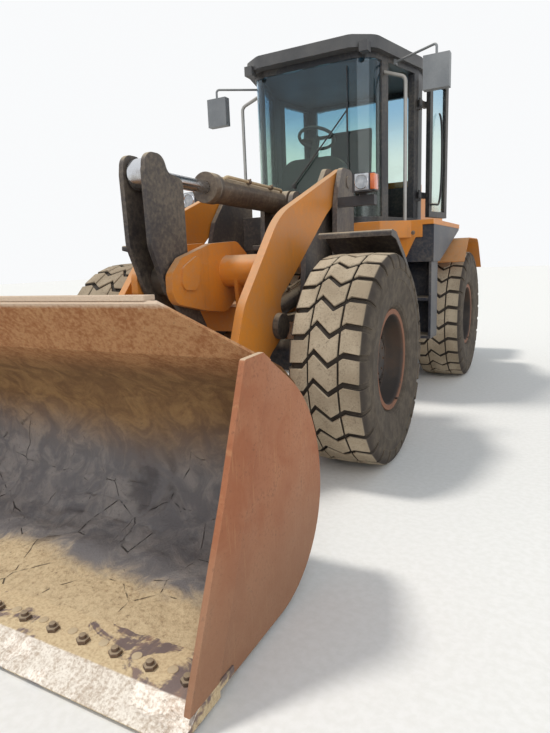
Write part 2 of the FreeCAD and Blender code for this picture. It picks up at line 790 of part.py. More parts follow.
def bucket_sides():
    floor_front = -v.bucket_reach + v.base_edge_width + 60
    outline = [(floor_front, v.bucket_floor_z, 0), (floor_front, v.bucket_floor_z - 10, 0),
               (v.bucket_back_y + 12, v.bucket_floor_z - 10, v.bucket_heel_radius + 10),
               (v.bucket_back_y + 12, v.bucket_shoulder_z + 8, v.bucket_crest_radius - 20),
               (v.bucket_top_y - 10, v.bucket_top_z + 14, 0), (-2165, v.bucket_top_z + 10, 15), (-2335, 690, 300),
               (-2592, 100, 20), (-2600, v.bucket_floor_z + v.base_edge_thick, 0),
               (floor_front, v.bucket_floor_z + v.base_edge_thick, 0)]
    return node("bucket_sides", pair(side_plate(outline, v.bucket_half - v.bucket_side, "bucket_side")))


def bucket_edge():
    """The base edge, the bolt-on blade under it and the wear strips under the floor."""
    front = -v.bucket_reach
    base_front = front + 60
    low, thick = v.edge_low_z, v.edge_thick
    wide = "2 * bucket_half"
    base = side_plate([(base_front, v.bucket_floor_z, 0), (base_front + 45, v.bucket_floor_z + v.base_edge_thick, 0),
                       (base_front + v.base_edge_width, v.bucket_floor_z + v.base_edge_thick, 0),
                       (base_front + v.base_edge_width, v.bucket_floor_z, 0)], -v.bucket_half, wide)
    blade = side_plate([(front, low, 0), (front, low + 6, 0), (front + 40, low + thick, 0),
                        (front + v.edge_width, low + thick, 0), (front + v.edge_width, low, 0)], -v.bucket_half, wide)
    strips = []
    for x in (-1150, -630, -110, 410, 930):
        strips.append(block((x, front_y(front + v.edge_width - 1), low), (220, 560, "edge_thick")))
    return node("bucket_edge", fuse(base, blade, *strips))


def bucket_ears():
    """The ears for the arms' pins and the link's pin, on the back of the shell."""
    path = bucket_path()
    filled = side_plate(path + [(v.guard_top_y - 300, v.guard_top_z, 0), (path[0][0], 500, 0)],
                        -v.bucket_half, "2 * bucket_half")
    lower = [(-1700, 235, 0), (-1520, 170, 80), (-1395, 232, 90), (-1282, 330, 95), (-1340, 430, 95),
             (-1560, 560, 0), (-1640, 400, 0)]
    ears = []
    hole = pin_hole(v.bucket_pin_y, v.bucket_pin_z, "pin_radius", 900)
    for x in (ear_in_x, ear_out_x - v.link_ear):
        ears.append(cut(side_plate(lower, x, "link_ear"), hole, filled))
    cap = side_plate([(-1450, 300, 40), (-1430, 400, 40), (-1330, 400, 40), (-1310, 300, 40), (-1380, 250, 40)],
                     ear_out_x, 14)
    cap = cut(cap, pin_hole(v.bucket_pin_y, v.bucket_pin_z, "pin_radius", 900), filled)
    ears[1] = fuse(ears[1], cap)
    upper = [(-1640, 480, 0), (-1360, 555, 90), (-1265, 650, 95), (-1330, 762, 95), (-1700, 870, 0),
             (-1720, 700, 0)]
    middle = cut(side_plate(upper, v.link_half + v.move_gap, "link_ear"),
                 pin_hole(v.ear_pin_y, v.ear_pin_z, "pin_radius", 400), filled)
    plate_cap = side_plate([(-1430, 640, 40), (-1400, 730, 40), (-1310, 700, 40), (-1300, 610, 40)], link_ear_out, 12)
    ears.append(fuse(middle, plate_cap))
    return node("bucket_ears", gather(*ears, *[other_side(ear) for ear in ears]))


bucket_shell()
bucket_sides()
bucket_edge()
bucket_ears()


# Cylinders
def cylinder(names, start, end, across, base_half, end_half, both_sides, **parts):
    """A barrel with its base eye, and a rod with its eye, between the pins at start and end."""
    way = (end - start).normalize()
    tube_start = start + way * 50
    tube_length = parts["length"]
    rod_start = start + way * parts["rod_from"]
    tube = ring(tuple(tube_start), parts["barrel"], parts["rod"] + " + 6", tube_length, way)
    plug = bar(tuple(tube_start), parts["barrel"], parts["plug"], way)
    collar = ring(tuple(tube_start + way * (tube_length - 50)), parts["barrel"] + " + 10",
                  parts["rod"] + " + fit_gap", 60, way)
    base_eye = bar(tuple(start - across * base_half), parts["eye"], 2 * base_half, across)
    bore = bar(tuple(start - across * (base_half + 5)), "small_pin + fit_gap", 2 * base_half + 10, across)
    barrel = cut(fuse(base_eye, tube, plug, collar), bore)
    rod = bar(tuple(rod_start), parts["rod"], end.distanceToPoint(rod_start), way)
    rod_eye = bar(tuple(end - across * end_half), parts["eye"], 2 * end_half, across)
    rod = fuse(rod, rod_eye)
    node(names[0], pair(barrel) if both_sides else barrel)
    node(names[1], pair(rod) if both_sides else rod)


cylinder(("lift_barrels", "lift_rods"), at(v.lift_x, front_y(v.lift_base_y), v.lift_base_z),
         at(v.lift_x, front_y(v.lift_eye_y), v.lift_eye_z), X, v.lift_base_half, v.lift_eye_half, True,
         barrel="lift_barrel_radius", rod="lift_rod_radius", eye="lift_eye_radius", length=1085, plug=45, rod_from=105)
cylinder(("tilt_barrel", "tilt_rod"), at(0, front_y(v.tilt_base_y), v.tilt_base_z),
         at(0, front_y(v.crank_top_y), v.crank_top_z), X, v.tilt_base_half, v.tilt_eye, False,
         barrel="tilt_barrel_radius", rod="tilt_rod_radius", eye="tilt_barrel_radius", length=1110, plug=90,
         rod_from=411)
for side, word in ((1, "left"), (-1, "right")):
    cylinder(("steer_barrel_" + word, "steer_rod_" + word),
             at(side * v.steer_barrel_x, rear_y(v.steer_barrel_y), v.steer_z),
             at(side * v.steer_rod_x, rear_y(v.steer_rod_y), v.steer_z), Z, v.steer_eye, v.steer_eye, False,
             barrel="steer_barrel_radius", rod="steer_rod_radius", eye="steer_eye_radius",
             length=550, plug=30, rod_from=318)


# Rear frame
def rear_chassis():
    """The side plates with the axle's arch, the bulkhead, the hinge lugs and the steering brackets."""
    half, wall = v.frame_half, v.frame_plate
    top, low = v.frame_top_z, v.frame_low_z
    axle = v.wheelbase / 2
    side = side_plate([(v.frame_front, low, 0), (v.frame_front, top, 0), (frame_end, top, 0), (frame_end, low, 0),
                       (axle + 620, low, 80), (axle + 430, deck_z, 80), (axle - 430, deck_z, 80),
                       (axle - 620, low, 80)], half, "frame_plate", rear_y)
    pieces = [side, other_side(side)]
    bulkhead = block((-half, rear_y(v.frame_front), v.fork_low_z + v.fork_plate + v.lug_gap),
                     ("2 * frame_half", "frame_plate", top - v.fork_low_z - v.fork_plate - v.lug_gap))
    shaft_hole = bar((0, rear_y(v.frame_front) - 5, v.shaft_z), "1.5 * shaft_radius", "frame_plate + 10", Y)
    tail = block((-half, rear_y(frame_end - wall), low), ("2 * frame_half", "frame_plate", top - low))
    pieces += [cut(bulkhead, shaft_hole), tail]
    for y in (2020, 2760):
        pieces.append(block((-half, rear_y(y), v.engine_low_z - 90), ("2 * frame_half", 100, 90)))
    for y in (v.gearbox_front + 20, v.gearbox_front + 180):
        pieces.append(block((-half, rear_y(y), low), ("2 * frame_half", 60, 40)))
    lug_low = (v.fork_low_z + v.fork_plate + v.lug_gap, v.fork_high_z + v.fork_plate + v.lug_gap)
    for low_z in lug_low:
        nose = bar((0, hinge_y, low_z), "lug_radius", "lug_thick", Z)
        wedge = level_plate([(-v.lug_radius + 8, 40, 0), (v.lug_radius - 8, 40, 0), (half, v.frame_front, 0),
                             (-half, v.frame_front, 0)], low_z, "lug_thick")
        pieces += [nose, wedge]
    web = block((80, rear_y(190), lug_low[0] + 1), (30, v.frame_front - 190, lug_low[1] - lug_low[0]))
    pieces += [web, other_side(web)]
    for low_z in steer_brackets():
        bracket = level_plate([(230, v.frame_front, 0), (230, 520, 50), (290, 480, 50), (half, 500, 50),
                               (half, v.frame_front, 0)], low_z, "steer_bracket")
        pieces += [bracket, other_side(bracket)]
    steer_low, steer_high = steer_brackets()
    steer_pin = bar((v.steer_barrel_x, rear_y(v.steer_barrel_y), steer_low), "small_pin",
                    steer_high - steer_low + v.steer_bracket, Z)
    pieces += [steer_pin, other_side(steer_pin)]
    hinge = bar((0, hinge_y, v.fork_low_z), "hinge_pin + fit_gap", v.fork_high_z, Z)
    return node("rear_chassis", cut(fuse(*pieces), hinge))


def engine():
    return node("engine_block", block((-v.engine_half, rear_y(v.engine_front), v.engine_low_z),
                                      ("2 * engine_half", "engine_length", "engine_height")))


def gearbox():
    """The gearbox with its shafts to the hinge, the rear axle and the engine."""
    front = rear_y(v.gearbox_front)
    rear = front + v.gearbox_length
    low = v.frame_low_z + 40
    body = block((-v.gearbox_half, front, low), ("2 * gearbox_half", "gearbox_length", 400))
    hinge_shaft = bar((0, hinge_y + 2 * v.shaft_radius, v.shaft_z), "shaft_radius", front - hinge_y - v.shaft_radius, Y)
    axle_shaft = bar((0, rear - 1, axle_z + 20), "shaft_radius", axle_rear - v.axle_ball - v.fit_gap - rear + 1, Y)
    flange = bar((0, rear - 1, v.engine_low_z + 60), "2 * shaft_radius", rear_y(v.engine_front) - rear + 1, Y)
    return node("gearbox", fuse(body, hinge_shaft, axle_shaft, flange))


def counterweight():
    """The cast weight behind the frame with its wings, and the hood's hinge lugs."""
    wide, corner = v.weight_half, v.weight_corner
    main = level_plate([(-wide, frame_end, 0), (wide, frame_end, 0), (wide, v.tail_reach, corner),
                        (-wide, v.tail_reach, corner)], v.weight_low_z, v.weight_top_z - v.weight_low_z)
    wing = side_plate([(v.wing_front, v.weight_top_z, 0), (frame_end + 1, v.weight_top_z, 0),
                       (frame_end + 1, v.weight_low_z, 0), (v.wing_front + 200, v.wing_low_z, 60),
                       (v.wing_front, v.wing_low_z + 160, 60)], v.wing_inner, v.weight_half - v.wing_inner, rear_y)
    pieces = [main, wing, other_side(wing)]
    top = v.weight_top_z - 1
    for x in (v.hood_hinge_x - 60, v.hood_hinge_x + 40):
        ear = side_plate([(hood_hinge_y - 35, top, 0), (hood_hinge_y - 28, v.hood_hinge_z + 26, 24),
                          (hood_hinge_y + 28, v.hood_hinge_z + 26, 24), (hood_hinge_y + 35, top, 0)], x, 20, rear_y)
        pieces += [ear, other_side(ear)]
    hinge = bar((v.hood_hinge_x - 60, rear_y(hood_hinge_y), v.hood_hinge_z), 12, 120)
    pieces += [hinge, other_side(hinge)]
    recess = block((-v.tow_half, rear_y(tow_pin_y - 90), v.tow_floor_z),
                   ("2 * tow_half", v.tail_reach - tow_pin_y + 200, "tow_roof_z - tow_floor_z"))
    tow_hole = bar((0, rear_y(tow_pin_y), v.weight_low_z - 10), "tow_pin_radius", 200, Z)
    return node("counterweight", cut(fuse(*pieces), recess, tow_hole))


def hood():
    """The sloping cover over the engine, open below, with its hinge knuckles at the rear."""
    front = cooler_front + v.cooler_length + v.hood_gap
    rear = v.tail_reach - v.hood_inset
    wall = v.hood_wall
    outline = [(front, v.hood_low_z, 0), (front, v.hood_front_z, 60), (rear, v.hood_rear_z, 140),
               (rear, v.hood_low_z, 0)]
    inside = [(front + wall, v.hood_low_z - 50, 0), (front + wall, v.hood_front_z - wall, 40),
              (rear - wall, v.hood_rear_z - wall, 110), (rear - wall, v.hood_low_z - 50, 0)]
    outer = side_plate(outline, -v.hood_half, "2 * hood_half", rear_y)
    inner = side_plate(inside, -v.hood_half + wall, 2 * (v.hood_half - wall), rear_y)
    shell = cut(outer, inner)
    knuckles = []
    start = v.hood_hinge_x - 35
    knuckle = fuse(bar((start, rear_y(hood_hinge_y), v.hood_hinge_z), 24, 70),
                   block((start, rear_y(rear - 1), v.hood_hinge_z - 20), (70, hood_hinge_y - rear + 1, 40)))
    bore = bar((start - 5, rear_y(hood_hinge_y), v.hood_hinge_z), "12 + fit_gap", 80)
    knuckle = cut(knuckle, bore)
    slots = louvres(v.hood_half, front + 150, front + 750, 1560, 5)
    grille = [block((-330, rear_y(rear - 10), 1560 + 70 * step), (660, 30, 38)) for step in range(5)]
    return node("hood", fuse(cut(shell, *slots, *grille), knuckle, other_side(knuckle)))


def louvres(x, front, rear, low, count):
    """Cutters for a row of slots along a side panel, 12 deep at x."""
    slots = []
    for step in range(count):
        slot = block((x - 12, rear_y(front), low + 70 * step), (24, rear - front, 38))
        slots += [slot, other_side(slot)]
    return slots


def cooler():
    """The cooler's housing, with louvres in its sides."""
    housing = block((-v.cooler_half, rear_y(cooler_front), v.frame_top_z),
                    ("2 * cooler_half", "cooler_length", v.cooler_top_z - v.frame_top_z))
    slots = louvres(v.cooler_half, cooler_front + 70, cooler_front + v.cooler_length - 70, 1800, 6)
    return node("cooler", cut(housing, *slots))


rear_chassis()
engine()
gearbox()
counterweight()
hood()
cooler()


# Platform and steps
def platform():
    """The deck under the cab, its beams on the frame and the orange fascia with its gussets."""
    low = v.cab_floor_z - v.platform_plate
    edge = [(v.fascia_bend, v.platform_front - 20, 0), (v.fascia_flat, v.fascia_front, 30),
            (-v.fascia_flat, v.fascia_front, 30), (-v.fascia_bend, v.platform_front - 20, 0)]
    deck = level_plate([(v.platform_half, v.platform_rear, 0), (v.platform_half, v.platform_front - 20, 0)] + edge
                       + [(-v.platform_half, v.platform_front - 20, 0), (-v.platform_half, v.platform_rear, 0)],
                       low, "platform_plate")
    beam = block((v.frame_half - 30, rear_y(v.frame_front), v.frame_top_z),
                 (90, v.platform_rear - v.frame_front, low - v.frame_top_z + 1))
    ends = [(v.fascia_half, v.platform_front - 20, 0)] + edge + [(-v.fascia_half, v.platform_front - 20, 0)]
    fascia = level_plate(strip(ends, 20), v.fascia_low_z, low - v.fascia_low_z + 1)
    shelf = level_plate(edge + [(-v.fascia_bend, v.platform_front, 0), (v.fascia_bend, v.platform_front, 0)],
                        v.fascia_low_z, 12)
    gusset = face_plate([(800, v.fascia_low_z + 1, 0), (980, v.fascia_low_z + 1, 0), (840, v.platform_low_z - 60, 0)],
                        rear_y(v.platform_front - 20), 20)
    pieces = [deck, beam, fascia, shelf, gusset, other_side(beam), other_side(gusset)]
    return node("platform", fuse(*pieces))


def side_boxes():
    """The closed boxes under the platform's sides, cut slanting at the rear."""
    top = v.cab_floor_z - v.platform_plate
    outline = [(v.platform_front, v.platform_low_z, 0), (v.platform_front, top, 0), (v.platform_rear - 30, top, 0),
               (v.platform_rear - 30, top - 20, 0), (v.step_front + v.step_depth + 10, v.platform_low_z, 0)]
    box = side_plate(outline, v.box_inner, v.platform_half - v.box_inner, rear_y)
    return node("side_boxes", pair(box))


def steps():
    """A ladder under each side box: two hangers and their treads."""
    top = v.platform_low_z
    low = top - 2 * v.step_rise + 20
    wall = 25
    depth = v.step_depth
    hangers = [block((x, rear_y(v.step_front), low), (wall, depth, top - low))
               for x in (v.step_inner, v.step_outer - wall)]
    treads = [block((v.step_inner + 1, rear_y(v.step_front) + 5, top - count * v.step_rise),
                    (v.step_outer - v.step_inner - 2, depth - 10, "tread_thick")) for count in (1, 2)]
    back = block((v.step_inner + 1, rear_y(v.step_front) + depth - 12, low),
                 (v.step_outer - v.step_inner - 2, 12, top - low))
    return node("steps", pair(fuse(*hangers, *treads, back)))


def rear_fenders():
    """A bent plate over each rear wheel, on an arm from the cooler's side."""
    path = [(1000, 1380, 0), (1270, 1640, 120), (1980, 1640, 250), (2330, 1290, 0)]
    shell = side_plate(strip(path, v.fender_wall), v.cooler_half + 40, v.fender_width + 90, rear_y)
    arm = block((v.cooler_half, rear_y(1480), 1570), (120, 220, 1633 - 1570))
    return node("rear_fenders", pair(fuse(shell, arm)))


platform()
side_boxes()
steps()
rear_fenders()


# Cab
def cab_outline(inset):
    """The cab's plan, widest at the door's rear post, drawn in by inset."""
    rear = v.cab_front + v.cab_length
    right = [(v.cab_nose_half, v.cab_front, v.cab_corner), (v.cab_half, v.cab_side_front, 80),
             (v.cab_half, v.cab_side_rear, 80), (v.cab_rear_half, rear, 60)]
    return drawn_in(right + [(-x, y, radius) for x, y, radius in right[::-1]], inset)


def cab_space():
    """All that lies inside the cab's outer faces, to trim what is fixed to them."""
    return level_plate(cab_outline(0), v.cab_floor_z, v.cab_top_z - v.cab_floor_z)


def windscreen_zone(grow):
    """The space ahead of the front pillars, between sill and lintel, smaller by grow all round."""
    return block((-v.cab_half - 50, rear_y(v.cab_front) - 50, v.sill_z + grow),
                 (2 * v.cab_half + 100, v.pillar_front - v.cab_front + 50 - grow, v.lintel_z - v.sill_z - 2 * grow))


def side_window(front, rear, grow, side):
    """The space of a window in a side wall."""
    x = v.cab_nose_half - 60 if side > 0 else -v.cab_half - 20
    return block((x, rear_y(front) + grow, v.sill_z + grow),
                 (v.cab_half - v.cab_nose_half + 80, rear - front - 2 * grow, v.lintel_z - v.sill_z - 2 * grow))


def rear_window(grow):
    wide = v.cab_rear_half - 120 - grow
    return block((-wide, rear_y(v.cab_front + v.cab_length - v.cab_wall) - 20, 2250 + grow),
                 (2 * wide, v.cab_wall + 40, v.lintel_z - 2250 - 2 * grow))


quarter_rear = v.cab_front + v.cab_length - 110
# front edge, rear edge and side of each pane behind the windscreen
SIDE_WINDOWS = ((v.door_front, v.door_rear, -1), (v.quarter_front, quarter_rear, -1), (v.quarter_front, quarter_rear, 1))


def cab_shell():
    """Floor, pillars and the frame under the roof, with the door's opening and the windows cut."""
    height = v.cab_eaves_z - v.cab_floor_z
    outer = level_plate(cab_outline(0), v.cab_floor_z, height)
    room = level_plate(cab_outline(v.cab_wall), v.sill_z - 20, height)
    openings = [room, windscreen_zone(0), rear_window(0), side_window(v.door_front, v.door_rear, 0, 1)]
    for front, rear, side in SIDE_WINDOWS:
        openings.append(side_window(front, rear, 0, side))
    pieces = [cut(outer, *openings)]
    for z in (v.sill_z + 170, v.lintel_z - 330):
        lug = block((v.cab_half - 25, rear_y(v.door_hinge_y) - 20, z), (v.door_hinge_x - v.cab_half + 40, 45, 25))
        pin = bar((v.door_hinge_x, rear_y(v.door_hinge_y), z), 12, 110, Z)
        pieces += [lug, pin]
    return node("cab_shell", fuse(*pieces))


def cab_glass():
    """The curved windscreen, the side panes and the rear pane."""
    height = v.cab_eaves_z - v.cab_floor_z
    skin = cut(level_plate(cab_outline(v.glass_inset), v.cab_floor_z, height),
               level_plate(cab_outline(v.glass_inset + v.glass_thick), v.cab_floor_z, height))
    panes = [common(skin, windscreen_zone(v.fit_gap)), common(skin, rear_window(v.fit_gap))]
    for front, rear, side in SIDE_WINDOWS:
        panes.append(common(skin, side_window(front, rear, v.fit_gap, side)))
    return node("cab_glass", gather(*panes))


def cab_roof():
    """The roof over the eaves, with a visor that carries the work lamps."""
    over = v.roof_overhang
    front = v.cab_front - v.roof_visor
    rear = v.cab_front + v.cab_length + over
    right = [(v.cab_nose_half - 130, front, 100), (v.cab_nose_half + 70, v.cab_front + 20, 150),
             (v.cab_half - 30, v.cab_side_front - 220, 200), (v.cab_half + over, v.cab_side_front, 150),
             (v.cab_half + over, v.cab_side_rear, 150), (v.cab_rear_half + over, rear, 60)]
    roof = level_plate(right + [(-x, y, radius) for x, y, radius in right[::-1]], v.cab_eaves_z,
                       v.cab_top_z - v.cab_eaves_z)
    lamp = block((545, rear_y(front + 15), v.cab_eaves_z - 45), (80, 90, 85))
    rear_lamp = block((v.cab_rear_half - 190, rear_y(rear - over), v.cab_eaves_z - 45), (80, 55, 85))
    return node("cab_roof", fuse(roof, lamp, other_side(lamp), rear_lamp, other_side(rear_lamp)))


def cab_door():
    """The glazed door, drawn along Y on its hinge and then swung open from the slanting wall."""
    gap = 8
    low, high = v.sill_z + gap, v.lintel_z - gap
    slant = math.atan2(v.cab_half - v.cab_nose_half, v.cab_side_front - v.cab_front)
    reach = (v.door_hinge_y - v.door_front) / math.cos(slant) - 6
    start = (v.door_hinge_y - v.door_rear) / math.cos(slant) + 28
    x, wall, frame = v.door_hinge_x - 68, v.door_wall, v.door_frame
    wide, tall = reach - start, high - low
    front = rear_y(v.door_hinge_y - reach)
    leaf = block((x, front, low), ("door_wall", wide, tall))
    hole = block((x - 5, front + frame, low + frame), (wall + 10, wide - 2 * frame, tall - 2 * frame))
    pane = block((x + 18, front + frame - 1, low + frame - 1), ("glass_thick", wide - 2 * frame + 2, tall - 2 * frame + 2))
    pieces = [cut(leaf, hole), pane]
    for z in (v.sill_z + 200, v.lintel_z - 300):
        tongue = block((x + wall - 2, rear_y(v.door_hinge_y - start - 45), z), (v.door_hinge_x - x - wall + 24, 40, 60))
        arm = block((v.door_hinge_x - 10, rear_y(v.door_hinge_y - start - 20), z), (32, start + 20, 60))
        knuckle = bar((v.door_hinge_x, rear_y(v.door_hinge_y), z), 22, 60, Z)
        bore = bar((v.door_hinge_x, rear_y(v.door_hinge_y), z - 5), "12 + fit_gap", 70, Z)
        pieces.append(cut(fuse(tongue, arm, knuckle), bore))
    door = fuse(*pieces)
    swing = FreeCAD.Rotation(Z, v.door_open - math.degrees(slant))
    hinge = at(v.door_hinge_x, rear_y(v.door_hinge_y), 0)
    door.Placement = FreeCAD.Placement(hinge - swing.multVec(hinge), swing)
    return node("cab_door", door)


def operator_seat():
    """The seat on its pedestal."""
    floor = v.sill_z - 20
    base = block((-180, rear_y(560), floor), (360, 360, 330))
    cushion = block((-250, rear_y(450), floor + 330), (500, 520, 130))
    back = side_plate([(930, floor + 420, 20), (860, floor + 460, 20), (960, floor + 1080, 50), (1040, floor + 1060, 50),
                       (990, floor + 420, 20)], -235, 470, rear_y)
    return node("operator_seat", fuse(base, cushion, back))


def cab_console():
    """The dash with the steering column and its wheel."""
    floor = v.sill_z - 20
    dash = side_plate([(-100, floor, 0), (-165, floor + 420, 40), (-120, floor + 560, 40), (20, floor + 480, 40),
                       (20, floor, 0)], -160, 320, rear_y)
    cowl = face_plate([(-340, floor + 300, 60), (340, floor + 300, 60), (340, floor + 610, 170),
                       (-340, floor + 610, 170)], rear_y(-175), 120)
    tilt = at(0, 0.45, 1).normalize()
    foot = at(-20, rear_y(-110), floor + 560)
    column = bar(tuple(foot), 35, 300, tilt)
    wheel = doc.addObject("Part::Torus", "wheel")
    wheel.Placement = FreeCAD.Placement(foot + tilt * 290, FreeCAD.Rotation(Z, tilt))
    bind(wheel, Radius1=175, Radius2=16)
    spoke = block((0, 0, 0), (350, 40, 14))
    spoke.Placement = FreeCAD.Placement(foot + tilt * 285, FreeCAD.Rotation(Z, tilt)).multiply(
        FreeCAD.Placement(at(-175, -20, -7), FreeCAD.Rotation()))
    return node("cab_console", fuse(dash, cowl, column, wheel, spoke))


def handrails():
    """A rail from the platform up to the cab's side, ahead of each door post."""
    x = v.platform_half - 280
    y = v.platform_front + 20
    points = [(x, rear_y(y), v.cab_floor_z), (x, rear_y(y), 3070), (v.cab_nose_half + 50, rear_y(y), 3150)]
    return node("handrails", pair(cut(pipe(points, v.rail_radius, 60), cab_space())))


def mirrors():
    """A mirror on each side, hung from an arm under the roof's edge."""
    x, y = v.cab_nose_half + 125, 190
    points = [(x, rear_y(y), 3262), (v.mirror_x, rear_y(-25), 3282), (v.mirror_x, rear_y(-25), 3000)]
    foot = block((x - 30, rear_y(y - 30), 3238), (45, 60, 48))
    arm = cut(fuse(foot, pipe(points, 11, 30)), cab_space())
    housing = block((v.mirror_x - 115, rear_y(-25) - 20, 2910), (230, 80, 285))
    return node("mirrors", pair(fuse(arm, housing)))


def exhaust_stack():
    """The stack on the cooler's roof, cut slanting at its mouth."""
    return node("exhaust_stack", bar((-380, rear_y(cooler_front + 305), v.cooler_top_z), "stack_radius", 550, Z))


def rear_lamps():
    lamp = block((v.weight_half - 330, rear_y(v.tail_reach - 120), v.weight_top_z), (220, 90, 110))
    return node("rear_lamps", pair(lamp))


cab_shell()
cab_glass()
cab_roof()
cab_door()
operator_seat()
cab_console()
handrails()
mirrors()
exhaust_stack()
rear_lamps()


# Checks, then one file for each piece
doc.recompute()
for thing in doc.Objects:
    if "Invalid" in thing.State or "Error" in thing.State:
        raise RuntimeError("%s (%s) failed: %s" % (thing.Name, thing.Label, thing.State))
for name, thing in nodes:
    if thing.Shape.isNull() or not thing.Shape.isValid():
        raise RuntimeError(name + " has no valid shape")
os.makedirs("parts", exist_ok=True)
for name, thing in nodes:
    thing.Shape.exportStep("parts/%s.step" % name)
print(len(nodes), "pieces written")
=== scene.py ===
import json
import math
import bmesh
import bpy
from mathutils import Matrix, Vector, noise

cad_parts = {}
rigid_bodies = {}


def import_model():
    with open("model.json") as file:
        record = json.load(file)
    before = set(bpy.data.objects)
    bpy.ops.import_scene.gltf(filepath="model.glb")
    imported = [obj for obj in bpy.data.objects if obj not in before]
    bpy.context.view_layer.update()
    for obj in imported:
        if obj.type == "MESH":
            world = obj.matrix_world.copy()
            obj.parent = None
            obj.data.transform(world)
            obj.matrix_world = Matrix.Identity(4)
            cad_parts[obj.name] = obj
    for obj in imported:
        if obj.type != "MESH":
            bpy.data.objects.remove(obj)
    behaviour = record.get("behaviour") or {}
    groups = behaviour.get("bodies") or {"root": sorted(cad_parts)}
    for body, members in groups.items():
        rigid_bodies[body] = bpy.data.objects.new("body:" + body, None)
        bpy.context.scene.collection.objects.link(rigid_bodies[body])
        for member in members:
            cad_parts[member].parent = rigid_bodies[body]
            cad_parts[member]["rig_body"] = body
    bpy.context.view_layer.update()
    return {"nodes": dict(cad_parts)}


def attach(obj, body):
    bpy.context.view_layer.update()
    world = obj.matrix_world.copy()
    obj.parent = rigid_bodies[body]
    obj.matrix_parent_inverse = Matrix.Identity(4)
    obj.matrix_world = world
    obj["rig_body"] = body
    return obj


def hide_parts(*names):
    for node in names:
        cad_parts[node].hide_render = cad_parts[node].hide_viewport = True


# Articulated wheel loader. Metres, front is -Y, its left side is +X, up is +Z.
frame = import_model()
scene = bpy.context.scene
nodes = frame["nodes"]

# Places on the machine
FRONT_AXLE = -1.21
REAR_AXLE = 2.04
AXLE_Z = 0.745
TRACK = 1.0
DOOR_HINGE = (0.872, 1.0)
DOOR_ALONG = Vector((0.2215, 0.975, 0))
DOOR_SQUARE = Vector((0.975, -0.2215, 0))
TILT_BASE = Vector((0.0, -0.46, 1.96))
TILT_WAY = Vector((0.0, -0.99981, 0.019495))
TILT_BARREL = 1.11
TILT_RADIUS = 0.096
LIFT_BASE = (0.346, -0.41, 1.3)
LIFT_WAY = Vector((0.0, -0.97466, -0.223692))
LIFT_BARREL = 1.085
LIFT_RADIUS = 0.070


def front(y):
    """A place behind the front axle."""
    return FRONT_AXLE + y


# Camera, lights and floor
def tint(red, green, blue):
    """A colour given as a screen shows it, from 0 to 255."""
    return tuple((c / 3294.6 if c <= 10 else ((c / 255 + 0.055) / 1.055) ** 2.4) for c in (red, green,
                                                                                           blue)) + (1.0,)


def place_camera():
    yaw, pitch, roll = 0.4903377, 0.1879122, -0.0389387
    look = Vector((-math.sin(yaw) * math.cos(pitch), math.cos(yaw) * math.cos(pitch), -math.sin(pitch)))
    level = Vector((math.cos(yaw), math.sin(yaw), 0))
    upright = level.cross(look)
    right = math.cos(roll) * level + math.sin(roll) * upright
    up = math.cos(roll) * upright - math.sin(roll) * level
    data = bpy.data.cameras.new("camera")
    data.lens = 27.008
    data.sensor_width = 36.0
    camera = bpy.data.objects.new("camera", data)
    turn = Matrix((right, up, -look)).transposed()
    camera.matrix_world = Matrix.Translation((2.2806, -4.9608, 1.4526)) @ turn.to_4x4()
    scene.collection.objects.link(camera)
    scene.camera = camera


def sun(name, way, strength, spread, colour):
    """A far lamp that shines along way."""
    data = bpy.data.lights.new(name, "SUN")
    data.energy = strength
    data.angle = math.radians(spread)
    data.color = colour
    lamp = bpy.data.objects.new(name, data)
    lamp.rotation_euler = Vector(way).to_track_quat("-Z", "Y").to_euler()
    scene.collection.objects.link(lamp)


class Field:
    """A value that varies over a surface, for sums and products."""

    def __init__(self, finish, socket):
        self.finish = finish
        self.socket = socket

    def __add__(self, other):
        return self.finish.maths("ADD", self, other)

    def __radd__(self, other):
        return self.finish.maths("ADD", other, self)

    def __sub__(self, other):
        return self.finish.maths("SUBTRACT", self, other)

    def __rsub__(self, other):
        return self.finish.maths("SUBTRACT", other, self)

    def __mul__(self, other):
        return self.finish.maths("MULTIPLY", self, other)

    def __rmul__(self, other):
        return self.finish.maths("MULTIPLY", other, self)


